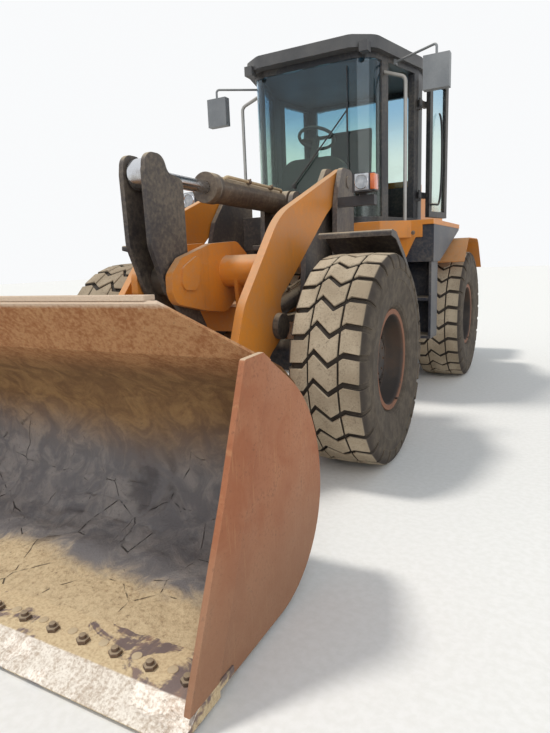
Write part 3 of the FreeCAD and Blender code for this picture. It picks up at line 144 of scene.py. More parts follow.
class Finish:
    """A material, with the few ways in which its nodes are made."""

    def __init__(self, name):
        self.material = bpy.data.materials.new(name)
        self.material.use_nodes = True
        self.tree = self.material.node_tree
        self.tree.nodes.clear()
        self.place = self.node("TexCoord", out="Object")

    def node(self, kind, settings=None, values=None, out=0):
        made = self.tree.nodes.new("ShaderNode" + kind)
        for key, value in (settings or {}).items():
            setattr(made, key, value)
        for key, value in (values or {}).items():
            if isinstance(value, Field):
                self.tree.links.new(value.socket, made.inputs[key])
            else:
                made.inputs[key].default_value = value
        return Field(self, made.outputs[out])

    def maths(self, kind, *values):
        return self.node("Math", {"operation": kind}, dict(enumerate(values)))

    def between(self, field, low, high):
        """0 where the field is at low, 1 where it is at high."""
        return self.node("MapRange", {"interpolation_type": "SMOOTHSTEP"},
                         {"Value": field, "From Min": low, "From Max": high})

    def most(self, first, second):
        return self.maths("MAXIMUM", first, second)

    def mix(self, share, first, second):
        """The first colour, and the second where share is 1."""
        return self.node("Mix", {"data_type": "RGBA"}, {0: share, 6: first, 7: second}, out=2)

    def noise(self, scale, detail=4.0, rough=0.55, stretch=None, warp=0.0):
        place = self.place
        if stretch:
            place = self.node("Mapping", values={"Vector": place, "Scale": stretch})
        return self.node("TexNoise", values={"Vector": place, "Scale": scale, "Detail": detail,
                                             "Roughness": rough, "Distortion": warp})

    def cells(self, scale, feature="F1"):
        return self.node("TexVoronoi", {"feature": feature}, {"Vector": self.place, "Scale": scale})

    def axis(self, letter):
        """The place along one axis of the row's frame."""
        return self.node("SeparateXYZ", values={0: self.place}, out="xyz".index(letter))

    def facing(self, letter):
        """How far a face looks along one axis."""
        return self.node("SeparateXYZ", values={0: self.node("TexCoord", out="Normal")},
                         out="xyz".index(letter))

    def chart(self, letter):
        """The piece's own map: u runs round a wheel, v is the radius."""
        return self.node("SeparateXYZ", values={0: self.node("UVMap", {"uv_map": "round"})},
                         out="uv".index(letter))

    def edges(self, radius=0.006):
        """1 on a sharp edge, 0 on a flat face."""
        soft = self.node("Bevel", {"samples": 4}, {"Radius": radius})
        plain = self.node("NewGeometry", out="Normal")
        same = self.node("VectorMath", {"operation": "DOT_PRODUCT"}, {0: soft, 1: plain}, out="Value")
        return self.between(1.0 - same, 0.01, 0.2)

    def done(self, colour, rough, metal=0.0, height=None, depth=0.002, **constants):
        """Joins the surface to the output."""
        values = {"Base Color": colour, "Roughness": rough, "Metallic": metal}
        if height is not None:
            values["Normal"] = self.node("Bump", values={"Height": height, "Distance": depth, "Strength": 1.0})
        values.update({key.replace("_", " "): value for key, value in constants.items()})
        shader = self.node("BsdfPrincipled", values=values)
        output = self.tree.nodes.new("ShaderNodeOutputMaterial")
        self.tree.links.new(shader.socket, output.inputs["Surface"])
        return self.material


DUST = tint(188, 170, 142)
PALE_DUST = tint(220, 204, 172)
DARK_RUST = tint(78, 48, 34)
GRIME = tint(38, 34, 32)


def painted(name, base, second, wear, gloss=0.42, dust=0.55, chips=0.5, streaks=0.35, metal=0.0, grain=0.0004):
    """Worn paint: faded patches, dust on what faces up, runs of dirt, chipped edges."""
    f = Finish(name)
    broad = f.noise(1.6, 3.0)
    fine = f.noise(38.0, 6.0, 0.65)
    runs = f.noise(9.0, 4.0, 0.6, (1.0, 1.0, 0.12))
    scuffs = f.noise(26.0, 5.0, 0.7, (0.25, 1.0, 1.0), 0.6)
    colour = f.mix(f.between(broad + fine * 0.35, 0.45, 0.9), base, second)
    dirt = f.between(runs + broad * 0.3, 0.72, 1.0) * streaks
    colour = f.mix(dirt, colour, GRIME)
    settled = f.between(f.facing("z") + fine * 0.5 - 0.25, 0.35, 0.95)
    film = f.between(broad * 0.6 + fine * 0.6, 0.5, 0.85) * 0.35
    colour = f.mix(f.most(settled, film) * dust, colour, DUST)
    worn = f.edges() * f.between(fine + broad * 0.4, 0.45, 0.75) * chips
    scraped = f.between(scuffs, 0.68, 0.76) * chips * 0.6
    bare = f.most(worn, scraped)
    colour = f.mix(bare, colour, wear)
    rough = gloss + settled * dust * 0.45 + fine * 0.15 + bare * 0.2
    return f.done(colour, rough, metal, fine * 1.0 - bare * 0.8, grain)


def rusty(name, base, second, low):
    """Bare and rusting plate: scale, scratches and a paler foot."""
    f = Finish(name)
    broad = f.noise(1.3, 4.0)
    middle = f.noise(7.0, 5.0, 0.6, None, 0.8)
    fine = f.noise(70.0, 6.0, 0.7)
    scratches = f.noise(11.0, 4.0, 0.6, (1.0, 6.0, 0.35), 0.4)
    colour = f.mix(f.between(broad * 0.7 + middle * 0.5, 0.42, 0.78), base, second)
    colour = f.mix(f.between(scratches, 0.56, 0.7) * 0.5, colour, tint(176, 124, 84))
    colour = f.mix(f.between(fine + middle * 0.4, 0.72, 0.95) * 0.5, colour, DARK_RUST)
    colour = f.mix(f.between(0.75 - f.axis("z") + broad * 0.4, 0.2, 0.8) * 0.55, colour, low)
    colour = f.mix(f.between(f.facing("z") + fine * 0.4, 0.75, 1.15) * 0.6, colour, PALE_DUST)
    colour = f.mix(f.edges(0.005) * 0.6, colour, tint(196, 160, 126))
    return f.done(colour, 0.62 + fine * 0.2 - f.between(broad, 0.5, 0.7) * 0.12, 0.1, fine + middle * 0.8,
                  0.0015)


def rubber(name):
    """Dusty tread tops, dark grooves and a brown-grey side wall."""
    f = Finish(name)
    radius = f.chart("v")
    broad = f.noise(2.2, 3.0)
    middle = f.noise(14.0, 5.0, 0.6)
    fine = f.noise(90.0, 6.0, 0.7)
    top = f.between(radius + fine * 0.004, 0.981, 0.994)
    shoulder = f.between(radius, 0.90, 0.97)
    colour = f.mix(f.between(middle, 0.35, 0.7), tint(74, 66, 58), tint(96, 86, 74))
    colour = f.mix(f.between(fine, 0.5, 0.75) * 0.4, colour, tint(56, 51, 47))
    colour = f.mix(shoulder * 0.75, colour, tint(58, 52, 48))
    dusty = f.mix(f.between(broad + fine * 0.4, 0.45, 0.85), tint(186, 170, 146), tint(150, 134, 112))
    dusty = f.mix(f.between(fine + middle * 0.5, 0.78, 0.98) * 0.6, dusty, tint(104, 92, 78))
    colour = f.mix(top, colour, dusty)
    colour = f.mix(f.edges(0.004) * 0.35, colour, tint(176, 158, 132))
    return f.done(colour, 0.86 + fine * 0.1, 0.0, fine + middle * 0.6, 0.0012, Specular_IOR_Level=0.3)


def rim_steel(name):
    """Dull grey wheel paint with a rusty flange and lock ring."""
    f = Finish(name)
    radius = f.chart("v")
    broad = f.noise(3.0, 4.0)
    fine = f.noise(60.0, 6.0, 0.7)
    colour = f.mix(f.between(broad, 0.35, 0.7), tint(48, 43, 41), tint(68, 60, 53))
    colour = f.mix(f.between(broad + fine * 0.3, 0.66, 0.9) * 0.5, colour, tint(92, 68, 52))
    flange = f.between(radius + fine * 0.01, 0.425, 0.445)
    colour = f.mix(flange * f.between(fine + broad * 0.6, 0.5, 0.8), colour, tint(128, 84, 60))
    colour = f.mix(f.between(fine, 0.62, 0.8) * 0.5, colour, tint(44, 38, 35))
    colour = f.mix(f.edges(0.004) * 0.5, colour, tint(150, 112, 84))
    return f.done(colour, 0.6 + fine * 0.25, 0.15, fine, 0.0008)


def scraped_steel(name):
    """The bucket's edge: a polished nose made near white by a painted highlight on its upward bevel, purple-grey
    plate and caked mud.
    """
    f = Finish(name)
    broad = f.noise(2.6, 5.0, 0.62, (1.0, 1.6, 1.0), 1.2)
    drag = f.noise(10.0, 5.0, 0.6, (2.2, 0.4, 1.0), 0.5)
    fine = f.noise(80.0, 6.0, 0.7)
    along = f.axis("y")
    colour = f.mix(f.between(drag, 0.4, 0.62), tint(112, 96, 92), tint(134, 112, 100))
    colour = f.mix(f.between(drag + fine * 0.3, 0.72, 0.84) * 0.8, colour, tint(142, 92, 60))
    mud = f.between(broad + drag * 0.25, 0.56, 0.63)
    colour = f.mix(mud, colour, f.mix(f.between(fine, 0.4, 0.7), tint(206, 184, 146), tint(176, 150, 116)))
    # Polished steel on the nose's upward bevel, made near white as a painted highlight.
    polish_and_painted_highlight = f.between(-1.0 * along + drag * 0.01, 3.752, 3.762) * f.between(f.facing("z"), 0.2, 0.6)
    bright = f.mix(f.between(fine + drag * 0.5, 0.6, 0.95), tint(236, 228, 216), tint(176, 158, 140))
    colour = f.mix(polish_and_painted_highlight * 0.9, colour, bright)
    return f.done(colour, 0.66 - polish_and_painted_highlight * 0.2 + mud * 0.2, 0.2 - mud * 0.2, fine * 0.6 + mud * 0.8, 0.002)


def caked(name):
    """Dried mud in the bucket, grey low down as painted shade, a pale band on the guard's top lip as a painted
    highlight, and rust where it has been scraped off.
    """
    f = Finish(name)
    broad = f.noise(1.1, 4.0, 0.5, None, 0.6)
    middle = f.noise(6.0, 6.0, 0.66, None, 1.0)
    fine = f.noise(46.0, 8.0, 0.75)
    cracks = f.cells(3.2, "DISTANCE_TO_EDGE")
    height = f.axis("z")
    upper = f.between(height + broad * 0.35 + middle * 0.1, 0.62, 1.0)
    top = f.between(height + middle * 0.12, 0.98, 1.2)
    # Painted shade: the lower mud is grey, standing in for the shade inside the bucket.
    mud_in_painted_shade = f.mix(f.between(middle, 0.38, 0.66), tint(116, 112, 112), tint(148, 141, 136))
    dry = f.mix(f.between(middle + fine * 0.3, 0.5, 0.85), tint(122, 92, 64), tint(158, 124, 84))
    scaly = f.mix(f.between(fine + middle * 0.4, 0.55, 0.85), tint(150, 98, 62), tint(186, 140, 98))
    colour = f.mix(upper, mud_in_painted_shade, dry)
    colour = f.mix(top, colour, scaly)
    # Painted highlight: a pale band at the height of the guard's top lip, where light falls on it.
    colour = f.mix(f.between(height + fine * 0.03, 1.31, 1.335), colour, tint(212, 188, 164))
    ahead = f.between(-1.0 * f.axis("y") + middle * 0.3 + broad * 0.2, 3.45,
                      3.62) * f.between(0.35 - height, 0.0, 0.2)
    colour = f.mix(ahead, colour, f.mix(f.between(fine, 0.4, 0.7), tint(206, 184, 148), tint(170, 146, 114)))
    pits = f.between(fine + middle * 0.35, 0.78, 0.9)
    colour = f.mix(pits * 0.6, colour, tint(58, 50, 47))
    split = (1.0 - f.between(cracks, 0.0, 0.012)) * f.between(middle, 0.5, 0.6) * (1.0 - upper)
    colour = f.mix(split * 0.85, colour, tint(40, 37, 38))
    stain = f.between(broad + middle * 0.3, 0.78, 0.84) * (1.0 - upper)
    colour = f.mix(stain * 0.6, colour, tint(58, 54, 58))
    return f.done(colour, 0.94 - stain * 0.2, 0.0, fine * 1.2 + middle * 2.0 - split * 1.5, 0.006,
                  Specular_IOR_Level=0.25)


def chrome(name):
    f = Finish(name)
    fine = f.noise(120.0, 5.0, 0.6)
    smear = f.noise(6.0, 4.0, 0.6)
    colour = f.mix(f.between(smear + fine * 0.3, 0.6, 0.9) * 0.5, tint(206, 208, 212), tint(120, 106, 90))
    return f.done(colour, 0.12 + f.between(smear, 0.5, 0.8) * 0.3, 0.95, fine, 0.0002)


def pane(name):
    """Glass coloured pale teal low down and blue towards the top as a painted sky reflection, with a film of dust
    low down.
    """
    f = Finish(name)
    height = f.axis("z")
    film = f.noise(14.0, 6.0, 0.7)
    # Painted reflection: the glass colour turns from pale teal to blue with height, for the sky seen in it.
    colour = f.mix(f.between(height, 2.5, 3.2), tint(214, 234, 224), tint(146, 188, 214))
    low = f.between(2.25 - height + film * 0.3, 0.0, 0.5)
    return f.done(colour, 0.03 + low * 0.12 + f.between(film, 0.6, 0.8) * 0.06, 0.0,
                  Transmission_Weight=1.0, IOR=1.45)


def fabric(name):
    f = Finish(name)
    weave = f.node("TexWave", {"wave_type": "BANDS", "bands_direction": "X"}, {"Vector": f.place,
                                                                               "Scale": 160.0})
    cross = f.node("TexWave", {"wave_type": "BANDS", "bands_direction": "Y"}, {"Vector": f.place,
                                                                               "Scale": 160.0})
    dusty = f.noise(12.0, 5.0, 0.6)
    colour = f.mix(weave * cross, tint(34, 34, 37), tint(66, 64, 64))
    colour = f.mix(f.between(dusty, 0.5, 0.8) * 0.5, colour, tint(112, 102, 90))
    return f.done(colour, 0.88 + weave * 0.06, 0.0, weave + cross, 0.0006, Sheen_Weight=0.25)


def moulded(name, base, second, gloss=0.5, dust=0.5, grain=260.0):
    """Moulded plastic: a fine grain, faded and dusty where it faces up."""
    f = Finish(name)
    pebble = f.cells(grain)
    broad = f.noise(3.0, 4.0)
    fine = f.noise(60.0, 5.0, 0.65)
    colour = f.mix(f.between(broad + fine * 0.3, 0.45, 0.85), base, second)
    settled = f.between(f.facing("z") + fine * 0.4, 0.6, 1.15)
    colour = f.mix(settled * dust, colour, PALE_DUST)
    colour = f.mix(f.edges(0.004) * 0.3, colour, tint(150, 144, 136))
    return f.done(colour, gloss + settled * 0.3 + fine * 0.1, 0.0, pebble * 0.5 + fine, 0.0003)


def lens(name, colour, second, glow=0.0):
    """A ribbed lamp lens over a bright cup."""
    f = Finish(name)
    ribs = f.node("TexWave", {"wave_type": "BANDS", "bands_direction": "X"},
                  {"Vector": f.place, "Scale": 46.0, "Distortion": 0.4})
    cup = f.noise(18.0, 3.0)
    film = f.noise(60.0, 5.0, 0.6)
    shown = f.mix(f.between(cup + ribs * 0.3, 0.4, 0.8), colour, second)
    shown = f.mix(f.between(film, 0.55, 0.8) * 0.3, shown, DUST)
    return f.done(shown, 0.14 + film * 0.12, 0.0, ribs, 0.0015, Coat_Weight=0.8, Coat_Roughness=0.06)


def floor_finish():
    f = Finish("floor")
    speck = f.noise(30.0, 4.0)
    colour = f.mix(f.between(speck, 0.3, 0.7), tint(226, 224, 219), tint(232, 230, 226))
    return f.done(colour, 0.9, 0.0, Specular_IOR_Level=0.1)


FINISHES = {
    "tyre": rubber("tyre"),
    "rim_paint": rim_steel("rim_paint"),
    "orange_paint": painted("orange_paint", tint(214, 133, 42), tint(190, 118, 48), tint(104, 66, 42), 0.4,
                            0.5, 0.6,
                            0.3),
    "tower_paint": painted("tower_paint", tint(72, 68, 68), tint(92, 82, 76), tint(150, 134, 118), 0.5, 0.8,
                           0.6, 0.3),
    "bucket_paint": rusty("bucket_paint", tint(150, 88, 54), tint(168, 112, 78), tint(140, 112, 88)),
    "wear_steel": scraped_steel("wear_steel"),
    "charcoal_paint": painted("charcoal_paint", tint(46, 42, 44), tint(64, 56, 52), tint(128, 116, 104),
                              0.45, 0.7,
                              0.5, 0.4),
    "pin_steel": painted("pin_steel", tint(112, 104, 96), tint(84, 76, 70), tint(150, 142, 134), 0.4, 0.5,
                         0.4, 0.5,
                         0.6),
    "rod_chrome": chrome("rod_chrome"),
    "barrel_paint": painted("barrel_paint", tint(66, 56, 50), tint(90, 76, 64), tint(140, 120, 98), 0.42,
                            0.75, 0.5,
                            0.3),
    "frame_paint": painted("frame_paint", tint(30, 34, 46), tint(42, 45, 54), tint(104, 98, 94), 0.4, 0.5,
                           0.5, 0.3),
    "iron_block": painted("iron_block", tint(70, 68, 66), tint(88, 82, 76), tint(120, 104, 88), 0.6, 0.4,
                          0.3, 0.6,
                          0.2),
    "weight_paint": painted("weight_paint", tint(52, 52, 56), tint(66, 64, 64), tint(120, 110, 100), 0.5,
                            0.55, 0.4,
                            0.3, 0.0, 0.0012),
    "cab_paint": painted("cab_paint", tint(26, 28, 34), tint(38, 39, 43), tint(96, 92, 88), 0.34, 0.45, 0.4,
                         0.25),
    "roof_plastic": moulded("roof_plastic", tint(66, 66, 68), tint(84, 83, 82), 0.5, 0.75),
    "glass": pane("glass"),
    "seat_fabric": fabric("seat_fabric"),
    "cab_plastic": moulded("cab_plastic", tint(46, 46, 49), tint(60, 59, 60), 0.5, 0.35),
    "lamp_plastic": lens("lamp_plastic", tint(214, 216, 218), tint(150, 156, 164)),
    "red_lens": lens("red_lens", tint(176, 28, 20), tint(120, 14, 12)),
    "rail_paint": painted("rail_paint", tint(168, 166, 162), tint(146, 143, 138), tint(96, 84, 72), 0.4,
                          0.4, 0.5,
                          0.3, 0.3),
    "mirror_plastic": moulded("mirror_plastic", tint(112, 115, 118), tint(134, 136, 137), 0.5, 0.4),
}
AMBER = lens("amber_lens", tint(232, 120, 24), tint(200, 84, 10))
MUD = caked("caked_mud")
HOSE = painted("hose_cover", tint(206, 186, 150), tint(170, 146, 112), tint(120, 98, 74), 0.6, 0.6, 0.3, 0.3)
SEAL = moulded("rubber_seal", tint(24, 24, 25), tint(34, 34, 35), 0.55, 0.4)
BOLT = painted("bolt_steel", tint(112, 92, 76), tint(84, 66, 54), tint(170, 156, 140), 0.5, 0.6, 0.6, 0.3, 0.4)


# Ways of making pieces
def keep(name, shape, slot, body, finish=None, smooth=38.0, replaces=()):
    """Turns a bmesh into a finished piece that rides on a body."""
    mesh = bpy.data.meshes.new(name)
    shape.to_mesh(mesh)
    shape.free()
    mesh.shade_smooth()
    mesh.set_sharp_from_angle(angle=math.radians(smooth))
    piece = bpy.data.objects.new(name, mesh)
    scene.collection.objects.link(piece)
    mesh.materials.append(finish or FINISHES[slot])
    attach(piece, body)
    if replaces:
        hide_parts(*replaces)
    return piece


def join(target, extra):
    """Adds one bmesh to another."""
    mesh = bpy.data.meshes.new("joined")
    extra.to_mesh(mesh)
    extra.free()
    target.from_mesh(mesh)
    bpy.data.meshes.remove(mesh)
    return target


def block(low, high, edge=0.004, segments=2):
    """A box between two corners with rounded edges."""
    shape = bmesh.new()
    bmesh.ops.create_cube(shape, size=1.0)
    low, high = Vector(low), Vector(high)
    bmesh.ops.scale(shape, vec=high - low, verts=shape.verts)
    bmesh.ops.translate(shape, vec=(low + high) / 2, verts=shape.verts)
    if edge:
        bmesh.ops.bevel(shape, geom=shape.edges, offset=edge, offset_type="OFFSET", segments=segments,
                        profile=0.5,
                        affect="EDGES", clamp_overlap=True, material=-1)
    return shape


def turn_to(way):
    return Vector((0, 0, 1)).rotation_difference(Vector(way)).to_matrix().to_4x4()


def rod(start, end, radius, sides=24, edge=0.0, tip=None):
    """A round bar from start to end, thinner at its end where tip is given."""
    start, end = Vector(start), Vector(end)
    shape = bmesh.new()
    bmesh.ops.create_cone(shape, cap_ends=True, segments=sides, radius1=radius,
                          radius2=radius if tip is None else tip,
                          depth=(end - start).length)
    if edge:
        rims = [e for e in shape.edges if abs(e.verts[0].co.z - e.verts[1].co.z) < 1e-6]
        bmesh.ops.bevel(shape, geom=rims, offset=edge, offset_type="OFFSET", segments=2, profile=0.5,
                        affect="EDGES",
                        clamp_overlap=True, material=-1)
    bmesh.ops.transform(shape, matrix=Matrix.Translation((start + end) / 2) @ turn_to(end - start),
                        verts=shape.verts)
    return shape


def lathe(profile, centre, way=(1, 0, 0), steps=64):
    """A ring or disc turned from (along, radius) points round an axis."""
    shape = bmesh.new()
    spots = [shape.verts.new((radius, 0, along)) for along, radius in profile]
    edges = [shape.edges.new(pair) for pair in zip(spots, spots[1:])]
    bmesh.ops.spin(shape, geom=spots + edges, cent=(0, 0, 0), axis=(0, 0, 1), angle=2 * math.pi, steps=steps,
                   use_merge=True, use_normal_flip=False, use_duplicate=False)
    bmesh.ops.remove_doubles(shape, verts=shape.verts, dist=0.00005)
    bmesh.ops.recalc_face_normals(shape, faces=shape.faces)
    bmesh.ops.transform(shape, matrix=Matrix.Translation(centre) @ turn_to(way), verts=shape.verts)
    return shape


def bolt(at, way, radius=0.012, tall=0.010):
    """A hexagon head with a chamfered top and a washer."""
    shape = bmesh.new()
    bmesh.ops.create_cone(shape, cap_ends=True, segments=6, radius1=radius, radius2=radius, depth=tall)
    top = [f for f in shape.faces if f.normal.z > 0.9]
    bmesh.ops.translate(shape, vec=(0, 0, tall / 2 + 0.002), verts=shape.verts)
    bmesh.ops.inset_region(shape, faces=top, thickness=radius * 0.16, depth=radius * 0.12)
    washer = bmesh.new()
    bmesh.ops.create_cone(washer, cap_ends=True, segments=14, radius1=radius * 1.5, radius2=radius * 1.4,
                          depth=0.004)
    join(shape, washer)
    bmesh.ops.transform(shape, matrix=Matrix.Translation(at) @ turn_to(way), verts=shape.verts)
    return shape


def tube(name, points, radius, slot, body, finish=None, turns=3):
    """A clamped pipe or a rail along a smooth line through points."""
    curve = bpy.data.curves.new(name, "CURVE")
    curve.dimensions = "3D"
    curve.bevel_depth = radius
    curve.bevel_resolution = turns
    curve.resolution_u = 6
    curve.use_fill_caps = True
    line = curve.splines.new("NURBS")
    line.points.add(len(points) - 1)
    for spot, point in zip(line.points, points):
        spot.co = (*point, 1.0)
    line.order_u = 3
    line.use_endpoint_u = True
    piece = bpy.data.objects.new(name, curve)
    scene.collection.objects.link(piece)
    curve.materials.append(finish or FINISHES[slot])
    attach(piece, body)
    return piece


# The node's own shape with its edges eased
EASED = (
    # edge in metres, finish, nodes
    (0.004, "orange_paint", ("arm_left", "arm_right", "boom_tube", "platform")),
    (0.010, "orange_paint", ("hood", "cooler")),
    (0.003, "orange_paint", ("front_chassis", "rear_fenders")),
    (0.004, "tower_paint", ("tower_left", "tower_right", "tilt_base")),
    (0.003, "bucket_paint", ("bucket_ears",)),
    (0.003, "wear_steel", ("bucket_edge",)),
    (0.004, "charcoal_paint", ("bell_crank", "bucket_link", "lift_bosses")),
    (0.002, "charcoal_paint", ("front_fenders",)),
    (0.003, "pin_steel", ("crank_pin", "link_pin", "bucket_pins")),
    (0.002, "rod_chrome", ("tilt_rod", "lift_rods", "steer_rod_left", "steer_rod_right")),
    (0.003, "barrel_paint", ("tilt_barrel", "lift_barrels", "steer_barrel_left", "steer_barrel_right")),
    (0.004, "frame_paint", ("rear_chassis", "front_axle", "rear_axle", "gearbox", "side_boxes", "steps")),
    (0.008, "iron_block", ("engine_block",)),
    (0.014, "weight_paint", ("counterweight",)),
    (0.006, "cab_paint", ("cab_shell", "exhaust_stack")),
    (0.022, "roof_plastic", ("cab_roof",)),
    (0.008, "cab_plastic", ("cab_console",)),
    (0.001, "rail_paint", ("handrails",)),
    (0.012, "mirror_plastic", ("mirrors",)),
    (0.008, "red_lens", ("rear_lamps",)),
)


def own_shape(name):
    """The node's own solid, merged, with its flat faces whole again."""
    shape = bmesh.new()
    shape.from_mesh(nodes[name].data)
    bmesh.ops.remove_doubles(shape, verts=shape.verts, dist=0.00005)
    bmesh.ops.dissolve_limit(shape, angle_limit=math.radians(0.6), use_dissolve_boundaries=False,
                             verts=shape.verts,
                             edges=shape.edges)
    return shape


def eased(name, edge, slot, finish=None, shape=None, segments=2):
    shape = shape or own_shape(name)
    piece = keep(name + "_dressed", shape, slot, nodes[name]["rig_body"], finish, 38.0, (name,))
    soft = piece.modifiers.new("eased", "BEVEL")
    soft.width = edge
    soft.segments = segments
    soft.limit_method = "ANGLE"
    soft.angle_limit = math.radians(40)
    soft.use_clamp_overlap = True
    soft.harden_normals = True
    return piece


# Wheels
TREAD_PATH = ((-0.259, 0.622), (-0.2592, 0.66), (-0.252, 0.694), (-0.238, 0.727), (-0.214, 0.7435), (0.0,
                                                                                                     0.745),
              (0.214, 0.7435), (0.238, 0.727), (0.252, 0.694), (0.2592, 0.66), (0.259, 0.622))
GROOVE = ((-1.6, -0.30), (-1.0, -0.37), (-0.62, -0.35), (-0.3, 0.17), (0.12, -0.31), (0.55, 0.07), (1.0, 0.0),
          (1.6, 0.04))
BLOCKS = 26
CARCASS = ((0.199, 0.3304), (0.199, 0.360), (0.206, 0.366), (0.228, 0.384), (0.232, 0.398), (0.236, 0.402),
           (0.240, 0.430), (0.246, 0.480), (0.2525, 0.540), (0.2545, 0.556), (0.2580, 0.560), (0.2585, 0.574),
           (0.2560, 0.580), (0.2555, 0.620), (0.247, 0.655), (0.236, 0.686), (0.221, 0.706), (0.195, 0.715),
           (0.0, 0.718))


def groove_at(x):
    for (a, b), (c, d) in zip(GROOVE, GROOVE[1:]):
        if x <= c:
            return b + (d - b) * (x - a) / (c - a)
    return GROOVE[-1][1]


def tread_spot(across, sink):
    """A place on the tread's section: across is 1 at its shoulder, sink goes towards the hub."""
    total = [0.0]
    for (a, b), (c, d) in zip(TREAD_PATH, TREAD_PATH[1:]):
        total.append(total[-1] + math.hypot(c - a, d - b))
    half = total[-1] / 2
    want = half + across * 0.226
    for i, (start, end) in enumerate(zip(total, total[1:])):
        if want <= end or i == len(total) - 2:
            share = (want - start) / (end - start)
            (a, b), (c, d) = TREAD_PATH[i], TREAD_PATH[i + 1]
            slope = Vector((c - a, d - b)).normalized()
            return (a + (c - a) * share + slope.y * sink, b + (d - b) * share - slope.x * sink)


def tread_block(left, right, shape):
    """One block of the tread, drawn flat as (across, along, sink) and then bent round the tyre."""
    gap = 0.105
    inner = [x for x, along in GROOVE if left + 0.02 < x < right - 0.02]
    line = [left] + inner + [right]
    low = [(x, groove_at(x) + gap) for x in line]
    high = [(x, groove_at(x) + 1 - gap) for x in reversed(line)]
    part = bmesh.new()
    face = part.faces.new([part.verts.new((x, along, 0)) for x, along in low + high])
    face.normal_update()
    lifted = bmesh.ops.extrude_face_region(part, geom=[face])["geom"]
    bmesh.ops.translate(part, vec=(0, 0, 1), verts=[v for v in lifted if isinstance(v, bmesh.types.BMVert)])
    for cut in (-1.36, -1.24, -1.12, -1.0, 1.0, 1.12, 1.24, 1.36):
        bmesh.ops.bisect_plane(part, geom=part.verts[:] + part.edges[:] + part.faces[:], plane_co=(cut, 0, 0),
                               plane_no=(1, 0, 0))
    bmesh.ops.recalc_face_normals(part, faces=part.faces)
    pitch = 2 * math.pi / BLOCKS
    for spot in part.verts:
        sink = 0.0 if spot.co.z > 0.5 else 0.034
        x, radius = tread_spot(spot.co.x, sink)
        angle = -spot.co.y * pitch
        spot.co = (x, radius * math.cos(angle), radius * math.sin(angle))
    join(shape, part)


def tyre_shape():
    blocks = bmesh.new()
    for left, right in ((-1.5, -0.49), (-0.44, 0.38), (0.44, 1.5)):
        tread_block(left, right, blocks)
    rims = [e for e in blocks.edges if e.is_manifold and e.calc_face_angle(0) > math.radians(50)]
    bmesh.ops.bevel(blocks, geom=rims, offset=0.004, offset_type="OFFSET", segments=1, profile=0.5,
                    affect="EDGES",
                    clamp_overlap=True, material=-1)
    bmesh.ops.spin(blocks, geom=blocks.verts[:] + blocks.edges[:] + blocks.faces[:], cent=(0, 0, 0),
                   axis=(1, 0, 0),
                   angle=2 * math.pi * (BLOCKS - 1) / BLOCKS, steps=BLOCKS - 1, use_duplicate=True, use_merge=False)
    bmesh.ops.recalc_face_normals(blocks, faces=blocks.faces)
    path = list(CARCASS) + [(-a, b) for a, b in CARCASS[-2::-1]]
    return join(lathe(path, (0, 0, 0), (1, 0, 0), 96), blocks)


RIM = ((-0.2146, 0.348), (-0.2146, 0.355), (-0.2125, 0.357), (-0.2010, 0.357), (-0.1988, 0.354), (-0.1988,
                                                                                                  0.331),
       (0.1988, 0.331), (0.1988, 0.354), (0.2010, 0.357), (0.2125, 0.357), (0.2146, 0.355), (0.2146, 0.346),
       (0.2130, 0.341), (0.2146, 0.337), (0.2130, 0.322), (0.204, 0.315), (0.185, 0.312), (0.10, 0.309),
       (0.078, 0.300), (0.0735, 0.284), (0.0735, 0.20), (0.0745, 0.175), (0.090, 0.166), (0.112, 0.150),
       (0.117, 0.142), (0.117, 0.045), (0.112, 0.040), (0.112, 0.0))
RIM_BACK = ((0.0497, 0.0), (0.0497, 0.30), (-0.02, 0.312), (-0.19, 0.314), (-0.2146, 0.325), (-0.2146, 0.348))


def rim_shape():
    shape = lathe(RIM, (0, 0, 0), (1, 0, 0), 72)
    join(shape, lathe(RIM_BACK, (0, 0, 0), (1, 0, 0), 72))
    for count in range(20):
        angle = 2 * math.pi * count / 20
        spot = (0.0735, 0.232 * math.cos(angle), 0.232 * math.sin(angle))
        join(shape, bolt(spot, (1, 0, 0), 0.015, 0.018))
    for count in range(8):
        angle = 2 * math.pi * (count + 0.5) / 8
        join(shape, bolt((0.117, 0.105 * math.cos(angle), 0.105 * math.sin(angle)), (1, 0, 0), 0.008, 0.006))
    join(shape, rod((0.205, 0.0, -0.322), (0.232, 0.0, -0.312), 0.007, 10))
    return shape


def add_chart(piece, centre):
    """The wheel's map: u is the angle round the axle, v the radius over the tyre's."""
    chart = piece.data.uv_layers.new(name="round")
    for face in piece.data.polygons:
        for index in face.loop_indices:
            spot = piece.data.vertices[piece.data.loops[index].vertex_index].co - centre
            chart.data[index].uv = (math.atan2(spot.z, spot.y) / (2 * math.pi) + 0.5, math.hypot(spot.y,
                                                                                                 spot.z) / 0.745)


def wheels():
    tyre, rim = tyre_shape(), rim_shape()
    for word, y in (("front", FRONT_AXLE), ("rear", REAR_AXLE)):
        for side, hand in ((1, "left"), (-1, "right")):
            name = word + "_" + hand
            centre = Vector((side * TRACK, y, AXLE_Z))
            for kind, source, slot, turn in (("tyre", tyre, "tyre", 0.06), ("rim", rim, "rim_paint", 0.3)):
                shape = source.copy()
                lay = Matrix.Translation(centre) @ Matrix.Rotation(turn, 4, "X") @ Matrix.Scale(side, 4, (1,
                                                                                                          0, 0))
                bmesh.ops.transform(shape, matrix=lay, verts=shape.verts)
                if side < 0:
                    bmesh.ops.reverse_faces(shape, faces=shape.faces)
                piece = keep(kind + "_" + name + "_dressed", shape, slot, "wheel_" + name, None, 32.0,
                             (kind + "_" + name,))
                add_chart(piece, centre)


